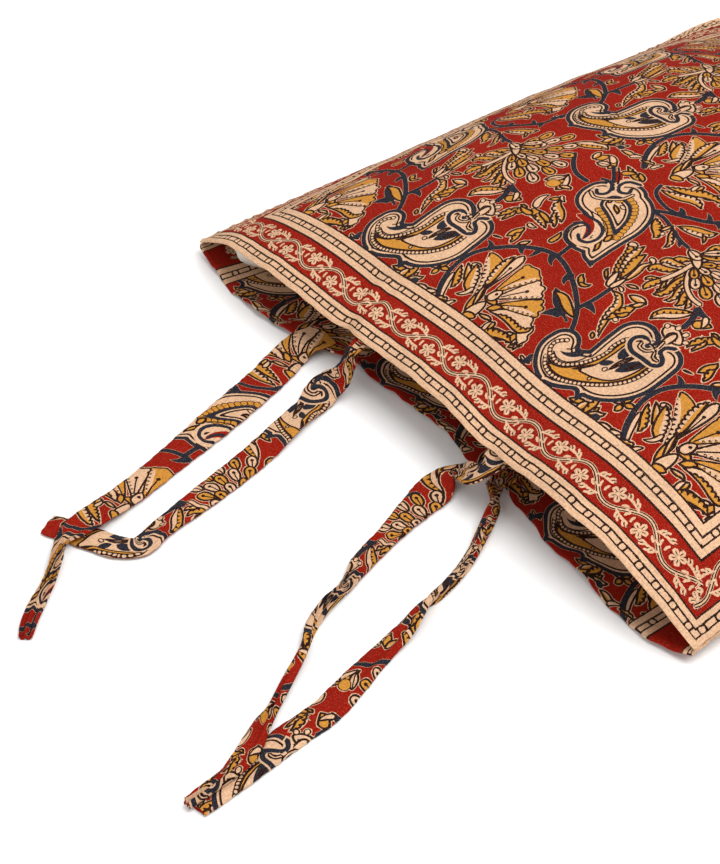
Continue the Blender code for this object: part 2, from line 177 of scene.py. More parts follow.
@dataclass(frozen=True)
class Strip:
    """A printed mark along an axis in the flat cloth.

    Attributes:
        axis: Points of the axis, in millimetres.
        half: Greatest half width, in millimetres.
        style: Its profile and inks.
    """

    axis: Array
    half: float
    style: Style

    @property
    def scale(self) -> float:
        """Factor that makes the profile's greatest value the half width."""
        foot, tip = self.style.value.foot, self.style.value.tip
        if foot + tip == 0:
            return self.half
        top = foot / (foot + tip)
        return self.half / ((top ** foot if foot else 1.0) * ((1 - top) ** tip if tip else 1.0))

    @property
    def length(self) -> float:
        """Length of the axis."""
        return float(np.linalg.norm(np.diff(self.axis, axis=0), axis=1).sum())

    @property
    def reach(self) -> tuple[Array, Array]:
        """Lowest and highest corner of what the mark may cover."""
        return self.axis.min(axis=0) - self.half, self.axis.max(axis=0) + self.half

    def place(self, points: Array) -> tuple[Array, Array]:
        """Finds where points lie against the axis, of which the nearest length decides.

        Args:
            points: Flat places.

        Returns:
            Share of the length, and signed distance from the axis, positive on its left.
        """
        start, step = self.axis[:-1], np.diff(self.axis, axis=0)
        size = np.linalg.norm(step, axis=1)
        unit = step / size[:, None]
        rel = points[..., None, :] - start
        run = (rel * unit).sum(axis=-1)
        held = np.clip(run, 0, size)
        gap = np.linalg.norm(rel - held[..., None] * unit, axis=-1)
        near = gap.argmin(axis=-1)[..., None]
        cross = unit[:, 0] * rel[..., 1] - unit[:, 1] * rel[..., 0]
        run, held, gap, cross = (
            np.take_along_axis(x, near, axis=-1)[..., 0] for x in (run, held, gap, cross)
        )
        near = near[..., 0]
        past = ((near == 0) & (run < 0)) | ((near == len(size) - 1) & (run > size[-1]))
        before = np.concatenate([[0], np.cumsum(size)])[near]
        along = (before + np.where(past, run, held)) / size.sum()
        return along, np.where(past, cross, np.copysign(gap, cross))

    def depth(self, t: Array, a: Array) -> Array:
        """Distance inside the edge, nearly: the width left over, shortened where the edge slopes.

        Args:
            t: Share of the length.
            a: Distance from the axis.

        Returns:
            The depth, negative outside.
        """
        foot, tip = self.style.value.foot, self.style.value.tip
        held = np.clip(t, END_SHARE, 1 - END_SHARE)
        half = self.scale * held ** foot * (1 - held) ** tip
        slope = half * (foot / held - tip / (1 - held)) / self.length
        over = np.clip(np.maximum(-t, t - 1), 0, None) * self.length
        return (half - np.abs(a)) / np.sqrt(1 + slope ** 2) - over


@dataclass(frozen=True)
class Area:
    """A printed area covered by round spots, seen from a depth inside its edge.

    Attributes:
        spots: Centre and radius of each spot, in millimetres.
        inset: How far inside the edge this layer begins; negative is outside.
        style: Inks of the layer.
    """

    spots: Array
    inset: float
    style: Style
    half: float = 24.0
    scale: float = 24.0
    length: float = 100.0

    @property
    def reach(self) -> tuple[Array, Array]:
        """Lowest and highest corner of what the area may cover."""
        wide = self.spots[:, 2:] - self.inset
        return (self.spots[:, :2] - wide).min(axis=0), (self.spots[:, :2] + wide).max(axis=0)

    def place(self, points: Array) -> tuple[Array, Array]:
        """Depth inside the edge, given so that a painter of strips reads it as a very wide one.

        Args:
            points: Flat places.

        Returns:
            The middle of the length, and the full half width less the depth.
        """
        gap = np.linalg.norm(points[..., None, :] - self.spots[:, :2], axis=-1)
        deep = (self.spots[:, 2] - gap).max(axis=-1) - self.inset
        return np.full(deep.shape, 0.5), self.half - deep

    def depth(self, t: Array, a: Array) -> Array:
        """Distance inside the edge."""
        return self.half - np.abs(a)


Mark = Strip | Area
BladeRow = tuple[float, float, float, float, float, float, Style]  # what blade() takes
Motif = list[Mark | BladeRow]


def blade(x: float, y: float, heading: float, length: float, width: float, bend: float,
          style: Style) -> Strip:
    """A leaf, petal or thorn: its heading turns evenly by the bend, and a leaf's tip flicks back.

    Args:
        x: Place of its foot along the mouth.
        y: Place of its foot from the mouth.
        heading: Way that it sets out, in degrees.
        length: Its length.
        width: Its greatest width.
        bend: How far it turns, in degrees.
        style: Its look.

    Returns:
        The mark.
    """
    flick = style.value.flick
    steps = max(6 if flick else 2, int(abs(bend) // 12) + 2)
    share = (np.arange(steps) + 0.5) / steps
    back = np.clip(share - 0.6, 0, None) * (-4.4 * bend - math.copysign(60, bend)) if flick else 0.0
    turn = np.radians(heading + bend * share + back)
    step = np.stack([np.cos(turn), np.sin(turn)], axis=-1) * length / steps
    axis = np.array([x, y]) + np.concatenate([[[0.0, 0.0]], np.cumsum(step, axis=0)])
    return Strip(axis, width / 2, style)


def rope(points: tuple[tuple[float, float], ...], width: float, style: Style) -> Strip:
    """A stem of even width on a smooth curve through a few points."""
    return Strip(spline(np.array(points, dtype=float), 5), width / 2, style)


def body(*limbs: tuple[tuple[float, float, float], ...]) -> Array:
    """Round spots along smooth limbs, each given by a few spots as centre and radius."""
    return np.concatenate([spline(np.array(limb, dtype=float), 7) for limb in limbs])


def rimmed(spots: Array, navy: float, beige: float) -> Motif:
    """An area with a navy rim, a beige one inside it, and a lined ground."""
    layers = ((0, Style.NAVY_AREA), (navy, Style.BEIGE_AREA), (navy + beige, Style.LINED_AREA))
    return [Area(spots, inset, style) for inset, style in layers]


def ring(spots: Array, inset: float, width: float, style: Style) -> list[Strip]:
    """An even band that follows the left and right edges of one limb at a depth inside them.

    Each edge is the limb's centres moved sideways by their radius less the inset, and half a round
    closes the far end.

    Args:
        spots: Centre and radius of each spot of the limb.
        inset: Depth of the band's axis inside the edge.
        width: Width of the band.
        style: Its inks.

    Returns:
        The band, as one strip.
    """
    centre, radius = spots[:, :2], np.maximum(spots[:, 2] - inset, 0.3)
    along = np.gradient(centre, axis=0)
    along = along / np.linalg.norm(along, axis=1, keepdims=True)
    left = np.stack([-along[:, 1], along[:, 0]], axis=-1)
    turn = np.radians(np.linspace(90, -90, 9)[1:-1])[:, None]
    tip = centre[-1] + radius[-1] * (np.cos(turn) * along[-1] + np.sin(turn) * left[-1])
    one, other = centre + left * radius[:, None], (centre - left * radius[:, None])[::-1]
    return [Strip(np.concatenate([one, tip, other]), width / 2, style)]


@dataclass(frozen=True)
class LyingPaisley:
    """The heart-shaped paisley whose tail curls up at its left. Places are millimetres in the repeat."""

    navy: float = 2.3
    bead_band: float = 2.5

    def silhouette(self) -> Array:
        """Spots that cover the body, its curled tail, both upper lobes and the cusps below."""
        return body(
            ((-1.6, -1.2, 8.6), (0.6, -7, 10.8), (8, -11, 11.6), (20.5, -4.6, 12.2),
             (30, -1.5, 14.6), (36.5, 5, 14.6), (38.5, 12.5, 13.2), (41, 20, 10.2)),
            ((25, 2, 13.6), (26, 13, 15.2), (22.3, 21.5, 11.6)),
            ((26.5, -10, 6), (27.6, -15.5, 2.6), (29, -20, 0.5)),
            ((8, -16, 6), (6.5, -21.5, 2.5), (6.5, -24.5, 0.5)),
        )

    def kernel(self) -> Array:
        """Spots that cover the inner leaf between the rows of beads."""
        return body(
            ((-1, -10.5, 0.5), (4, -13.4, 1.5), (11, -12.8, 2.8), (19, -7.6, 5),
             (26, 0.5, 8), (29.6, 8, 10.2), (29.8, 14, 10.6)),
        )

    def marks(self) -> Motif:
        """The body, its rings, the kernel with its leaves, and the knot between the lobes."""
        shape, kernel = self.silhouette(), self.kernel()
        made = rimmed(shape, self.navy, 1) + ring(kernel, -1.2, self.bead_band, Style.BEADS)
        made += [
            rope(((-0.6, -10.2), (-3.9, -7.2), (-4.7, -3.4), (-3, -0.8), (-1.8, 0.4)), 2.6, Style.BEADS),
            Area(kernel, 0, Style.MUSTARD_AREA),
            (13.5, -9, 44, 15, 2.4, 22, Style.HALF_LEAF),
            Area(body(((17.4, -6.4, 1.4), (23.6, -2.2, 4.4), (28.2, 3.4, 7.6), (30, 10, 8.7),
                       (30.2, 16, 8.9))), 0, Style.LINED_AREA),
            (20.6, 1.6, 36, 7, 3.4, 14, Style.NAVY_LEAF),
            (30.2, 3, 62, 15, 5.6, -8, Style.NAVY_LEAF),
            (26, 9, 96, 8, 5.6, 0, Style.NAVY_DROP),
            (27.2, 1.4, 82, 15, 3.4, -18, Style.BEIGE_VEIN),
            (33, 6, 70, 8, 2.2, -10, Style.HALF_LEAF),
            (25.6, -0.6, 90, 3, 3, 0, Style.ROUND),
            (24.4, -8.6, 90, 2.4, 2.4, 0, Style.ROUND),
            (-2.9, 0.9, 0, 3, 3, 0, Style.ROUND),
        ]
        made += self.tail() + self.knot()
        return made

    def tail(self) -> Motif:
        """The navy tongue that runs in under the curled tail, and the dark lines beside it."""
        return [
            (9.4, 0.6, -104, 11, 4.6, -80, Style.THORN),
            rope(((1.6, 4.6), (4, 2.6), (4.9, -0.4), (2.8, -2.6)), 0.8, Style.LINE),
            rope(((-1, -7.6), (3.4, -9), (8.6, -7.8), (12.6, -3), (14, 3)), 0.8, Style.LINE),
        ]

    def knot(self) -> Motif:
        """The cleft between the lobes, closed by a navy line that curls and crosses a beige ribbon."""
        line = ((40.6, 29.6), (36.9, 27.2), (37, 23.8), (41, 21.4), (43, 18.4), (40.4, 15.9), (34, 15.9),
                (27, 16), (22.5, 18.8), (21.6, 22.7), (24.4, 25.6))
        return [
            (34.4, 36, -92, 11, 5.2, 0, Style.LOBE_BEIGE),
            rope(((23, 32.4), (29.5, 30), (31.6, 26), (30.2, 22.3)), 2.1, Style.STEM),
            rope((*line, (28.2, 25)), 4.2, Style.BEIGE_AREA),
            rope((*line, (28.4, 24.8), (29.8, 22.4)), 2.3, Style.STEM),
            rope(((33.6, 29), (34.2, 24), (32, 20.2), (27.6, 20), (26.4, 22.4)), 2.3, Style.RIBBON),
            rope(((35.4, 22), (37.2, 19.3), (40.2, 19.2)), 2.2, Style.RIBBON),
        ]


@dataclass(frozen=True)
class UprightPaisley:
    """The paisley that stands on its cusp, with a ring of scallops and a curl at its left."""

    navy: float = 2.1

    def marks(self) -> Motif:
        """The body and curl, the scalloped teardrop with its small flowers, and the knot above."""
        shape = body(
            ((-68.5, 79, 9.6), (-64, 76.5, 13.6), (-57, 77.5, 16), (-50.5, 75.5, 17),
             (-46, 70.5, 15.6), (-42.8, 63.5, 12.6), (-39, 54, 9), (-36, 46.5, 6.2),
             (-32.5, 41.8, 2.6), (-29.4, 38.6, 0.5)),
            ((-57, 80, 13), (-57.6, 85.4, 11)),
            ((-40, 49, 6), (-45, 48, 6.6), (-50.6, 50.6, 8.6), (-50.4, 52.6, 8.8)),
        )
        tear = body(((-57.4, 77.4, 6.6), (-52.4, 75.8, 6.8), (-46.8, 71.6, 5.2), (-42, 66, 2.7),
                     (-38.2, 61.2, 0.5)))
        made = rimmed(shape, self.navy, 1.1) + ring(tear, -1.7, 4.1, Style.SCALLOPS)
        made += rimmed(tear, 1.8, 0.7)
        made += [
            (-62.6, 79.6, -30, 5, 3.4, -30, Style.MUSTARD_LEAF),
            (-58, 79, 70, 4.6, 3, -60, Style.ROUND_MUSTARD),
            (-56.8, 77.6, -34, 9, 3.2, 20, Style.MUSTARD_LEAF),
            (-54, 79, -10, 4.4, 3, 0, Style.ROUND),
            (-39.4, 61, -78, 7, 4.2, 0, Style.MUSTARD_LEAF),
            (-40.6, 55, -66, 10, 3.4, 16, Style.MUSTARD_LEAF),
        ]
        made += self.curl() + self.knot()
        return made

    def curl(self) -> Motif:
        """The foot's curl: the ground let in over it, and the navy line that follows it round."""
        return [
            rope(((-59, 60.4), (-52, 61), (-45.4, 58.2), (-42, 52.4), (-45, 47.2), (-50, 46.6)),
                 4.6, Style.BEIGE_AREA),
            (-62.6, 59.6, 18, 21.5, 4.4, -106, Style.GROUND),
            rope(((-62, 62.4), (-56.6, 62.2), (-51, 62.4), (-44.8, 59.6), (-42, 54), (-43.6, 49),
                  (-48, 47.6), (-51.6, 49.8)), 1.9, Style.STEM),
            rope(((-59.4, 54.2), (-56.6, 56.8), (-52.4, 57), (-49, 54.4), (-47.4, 50.4)), 1.8, Style.STEM),
            rope(((-56.4, 54.2), (-56.8, 48.6), (-52.8, 44.4), (-46, 43.8)), 0.7, Style.LINE),
            rope(((-60, 66), (-53, 65.6), (-45.6, 63), (-40.2, 57.6), (-39.4, 51)), 0.7,
                 Style.LINE),
        ]

    def knot(self) -> Motif:
        """Two volutes that face each other, the ribbon across them, and the stem let in between."""
        return [
            (-75.4, 96.4, -34, 13, 4.6, -20, Style.GROUND),
            rope(((-70, 88), (-66.4, 84.6), (-65.8, 80.2), (-69.4, 77.6), (-72.4, 79.6)), 5,
                 Style.BEIGE_AREA),
            rope(((-60, 96.4), (-65.6, 93.6), (-65.8, 88.6), (-61.6, 85.8), (-57.8, 88.4)), 5,
                 Style.BEIGE_AREA),
            rope(((-76.6, 87.2), (-71.2, 88.2), (-67.2, 85), (-66.2, 80.6), (-69.4, 77.8), (-72.2, 79.8)),
                 2, Style.STEM),
            rope(((-59, 96.8), (-64.8, 94.4), (-66, 89.2), (-62.2, 85.8), (-58.2, 88), (-59.6, 91.2)),
                 2, Style.STEM),
            rope(((-73, 76.6), (-68, 74.8), (-61.6, 78.4), (-56.6, 83.4), (-55.6, 88.6)), 2.6,
                 Style.RIBBON),
            rope(((-80.6, 98.2), (-74.4, 93.2), (-68.6, 87.4), (-66, 84.6)), 2.2, Style.STEM),
            rope(((-77.6, 99), (-71.8, 94.4), (-67.6, 89.6)), 1.2, Style.RIBBON),
        ]


def lobed(x: float, y: float, heading: float, length: float, width: float, style: Style) -> Motif:
    """A broad petal: it widens evenly from its foot and ends in three round lobes.

    Args:
        x: Place of its foot along the mouth.
        y: Place of its foot from the mouth.
        heading: Way that it points, in degrees.
        length: From foot to lobes.
        width: Across the lobes.
        style: Its look.

    Returns:
        The petal, its middle line with a dot, and the teeth along its right edge.
    """
    foot, ahead, side = np.array([x, y]), direction(heading), direction(heading + 90)
    spread, round_lobe = width * 0.58, width * 0.19
    spots = [(*(foot + ahead * length * share), 0.6 + spread * share) for share in np.linspace(0, 0.74, 9)]
    for lobe in (-1, 0, 1):
        centre = foot + ahead * (length - round_lobe - width * 0.12 * abs(lobe)) + side * lobe * width * 0.36
        spots.append((*centre, round_lobe))
    start, dot = foot + ahead * length * 0.2, foot + ahead * length * 0.62
    tip, root = (foot + ahead * length * share - side * (spread * share - 1.6) for share in (0.84, 0.3))
    return [
        Area(np.array(spots), 0, style),
        Strip(np.stack([tip, root]), 1.5, Style.TEETH),
        Strip(np.stack([start, dot]), 0.4, Style.LINE),
        blade(dot[0], dot[1], heading, 2.1, 2.1, 0, Style.PIP),
    ]


@dataclass(frozen=True)
class FanFlower:
    """The large open flower: broad petals that spread from a calyx, beige and mustard by turns."""

    def marks(self) -> Motif:
        """The outer petals first, then the middle ones and the calyx over them."""
        outer = body(((-57, -13, 1.2), (-59.4, -4, 2.8), (-63, 4, 4.2), (-67, 9.6, 4.8),
                      (-71.6, 12.8, 2.8), (-75.4, 14.4, 0.6)))
        low = body(((-44, -11.6, 1.4), (-37, -8.4, 3), (-30, -6.4, 4.2), (-24.4, -7.8, 4.4),
                    (-20.4, -11.6, 3.4), (-17.6, -17, 0.9)),
                   ((-36, -5.8, 2.6), (-35.8, -5.8, 2.6)), ((-30.6, -4, 3), (-30.4, -4, 3)),
                   ((-25.2, -4.2, 3.2), (-25, -4.2, 3.2)), ((-20.4, -7.6, 3), (-20.3, -7.8, 3)),
                   ((-18, -12.4, 2.4), (-18, -12.6, 2.4)))
        made: Motif = [
            Area(outer, 0, Style.MUSTARD_AREA),
            rope(((-58.4, -9), (-62, -2), (-67.2, 5), (-73.4, 11)), 2.8, Style.TEETH),
            Area(low, 0, Style.LINED_AREA),
            (-42.6, -12.4, 26, 27, 4.8, -66, Style.MUSTARD_TEETH),
            (-58, -7, 106, 28, 6, 2, Style.HALF_TEETH),
            (-56.6, -6, 96, 28, 6.4, 2, Style.FAN_BEIGE),
        ]
        made += lobed(-47.6, -9.6, 33, 28, 11.6, Style.MUSTARD_AREA)
        made += lobed(-52.6, -5, 78, 27, 14, Style.MUSTARD_AREA)
        made += lobed(-50, -7.4, 55, 27.4, 12.6, Style.LINED_AREA)
        made += [
            (-55.4, -20, 100, 18, 5.4, -8, Style.MUSTARD_LEAF),
            (-53.4, -17, 112, 18, 3.4, 6, Style.HALF_LEAF),
            (-54.6, -7, -16, 11, 4.6, 40, Style.MUSTARD_LEAF),
            (-51.4, -8, 76, 8.6, 6.6, 0, Style.LOBE_BEIGE),
            (-50.4, -4, 76, 1.8, 1.8, 0, Style.PIP),
            (-47.6, -12.6, 40, 9, 4.6, 20, Style.MUSTARD_LEAF),
            (-48.6, -16.4, -4, 10, 3.4, 36, Style.HALF_LEAF),
            (-52.6, -22.2, 82, 13, 7.6, 0, Style.LOBE_BEIGE),
            (-54.4, -21.6, 24, 7.4, 5.2, -10, Style.LOBE_MUSTARD),
        ]
        return made


@dataclass(frozen=True)
class FeatherFlower:
    """The flower with curved fingers on one side and rows of seeds on the other."""

    hub: tuple[float, float] = (4.5, 73.5)

    def marks(self) -> Motif:
        """Fingers first, then the seeds from the outside in, and the stalk over them."""
        x, y = self.hub
        made: Motif = [
            (1.6, 75.6, 236, 9.5, 5, -46, Style.FINGER_MUSTARD),
            (3.6, 71, 226, 15.5, 5, -84, Style.HALF_FINGER),
            (2.6, 66.4, 240, 16.5, 5.4, -90, Style.FINGER_MUSTARD),
            (2.4, 57, 236, 9.6, 3.4, -66, Style.HALF_FINGER),
            (2.6, 58, 262, 12.6, 5.4, -16, Style.FINGER_MUSTARD),
            (4, 58.4, 284, 11.6, 3.4, 36, Style.HALF_FINGER),
            (7, 68.6, 262, 20.6, 4, 50, Style.HALF_FINGER),
            (9, 66.6, 262, 21.6, 5, 44, Style.FINGER_MUSTARD),
            (12.4, 63, 272, 17.4, 4.2, 50, Style.HALF_FINGER),
            (16.6, 59.6, 284, 13, 4.6, 46, Style.FINGER_MUSTARD),
            (20.6, 57.4, 296, 9.6, 3.6, 40, Style.HALF_FINGER),
            rope(((5, 72), (9.4, 65.4), (15, 60), (22, 56.6), (28, 56)), 3.2, Style.RIBBON),
            rope(((4.4, 73), (4.4, 66), (3.4, 60), (2.4, 56.4)), 3.8, Style.RIBBON),
        ]
        rows = ((24.5, (-20, -2, 14, 31, 48, 66), 9.4, 6.4), (16.5, (-30, -12, 6, 26, 46, 68, 88), 10, 6.6),
                (9, (-40, -18, 8, 36, 66, 94), 9.6, 6.4), (2.5, (-40, 0, 40, 84), 8.6, 5.6))
        for row, (far, angles, length, width) in enumerate(rows):
            for place, angle in enumerate(angles):
                at = (x, y) + direction(angle + 3) * far
                style = Style.SEED_MUSTARD if (place + row) % 2 == 1 else Style.SEED_BEIGE
                made.append(blade(at[0], at[1], angle, length, width, 0, style))
        made += [
            (x - 5, y + 6, -36, 12, 6, 0, Style.LOBE_BEIGE),
            (x - 10, y + 6, -8, 10, 6.4, 0, Style.SEED_BEIGE),
            (x - 3, y + 6.5, 30, 12, 6, 10, Style.SEED_MUSTARD),
            (x - 3.6, y + 8, 52, 12, 6, -6, Style.SEED_BEIGE),
        ]
        return made


@dataclass(frozen=True)
class Stems:
    """Navy stems with their thorns, which join the large motifs."""

    width: float = 2.7

    def marks(self) -> Motif:
        """The arc round the fan flower, the twigs, and the long stem above the upright paisley."""
        w = self.width
        thorn = Style.THORN
        made: Motif = [
            (-79.4, -6, -72, 23, 3.6, 26, Style.CURL),
            rope(((-69, -26), (-76.6, -17.6), (-81.6, -8), (-83.2, 2), (-80.4, 12), (-71.6, 22.4),
                  (-60.4, 30), (-49.6, 33), (-39.6, 31.4), (-29.6, 27.2), (-20.4, 22), (-12.8, 16.6),
                  (-7.8, 11), (-4.6, 6.4)), w, Style.STEM),
            (-78, 17, 128, 6.4, 3.6, 60, thorn),
            (-66, 27, -70, 6.2, 4.5, 60, thorn),
            (-57.6, 31, -86, 7.6, 4.2, -20, thorn),
            (-49.4, 32.4, -80, 8, 4.8, 66, thorn),
            (-32, 28, -110, 6.9, 5.4, 86, thorn),
            rope(((-48.2, 41.6), (-47.8, 37), (-47.6, 33)), 2.6, Style.STEM),
            rope(((-12.8, 16.8), (-11, 26), (-10.6, 36.4)), 2.6, Style.STEM),
            (-11, 21.6, 4, 7.6, 4.8, -34, thorn),
            (-13.6, 9.2, 157, 19.5, 6, -8, Style.NAVY_LEAF),
            (-17.4, 9.4, 214, 9.2, 6.9, 30, thorn),
            (-9, 11.8, 168, 22, 6, -20, Style.MUSTARD_LEAF),
            rope(((-10.6, 8.2), (-14.2, 9.4), (-18.4, 8.6)), 1.6, Style.STEM),
            rope(((-6.2, -18.2), (-10.2, -22.6)), 3, Style.STEM),
            (-11.8, -19.4, -20, 7.6, 2.4, 40, Style.CURL),
            rope(((-40.6, 86.4), (-32, 87.2), (-22, 84), (-13, 81.2), (-6.4, 80.4)), 2.4, Style.STEM),
            (-20, 83.6, -60, 5.8, 3.9, 40, thorn),
            (-12.6, 81, -70, 5.1, 3.6, 50, thorn),
            rope(((-40.6, 86.6), (-34, 91.4), (-24, 96.4), (-14, 101), (-8.8, 106.6), (-7.4, 117.6)),
                 2.7, Style.STEM),
            (-28.6, 95.4, 110, 6.2, 5.1, 70, thorn),
            (-14.6, 101, 120, 7.6, 3.9, 50, thorn),
            (-11, 103.6, -20, 5.8, 4.5, -50, thorn),
            rope(((-52.4, 104), (-50, 98.6), (-44, 95.2), (-36, 93.8), (-28, 95)), 2.3, Style.STEM),
            rope(((54.8, 81.2), (46, 82), (38.4, 86.4), (31, 93.6)), 2.7, Style.STEM),
            rope(((33.4, 41), (32.4, 47), (29.4, 54)), 3.2, Style.STEM),
            (29.8, 52.4, -8, 9.2, 5.1, 20, thorn),
            rope(((52, 23.4), (57, 24.8)), 1.6, Style.CURL),
        ]
        return made


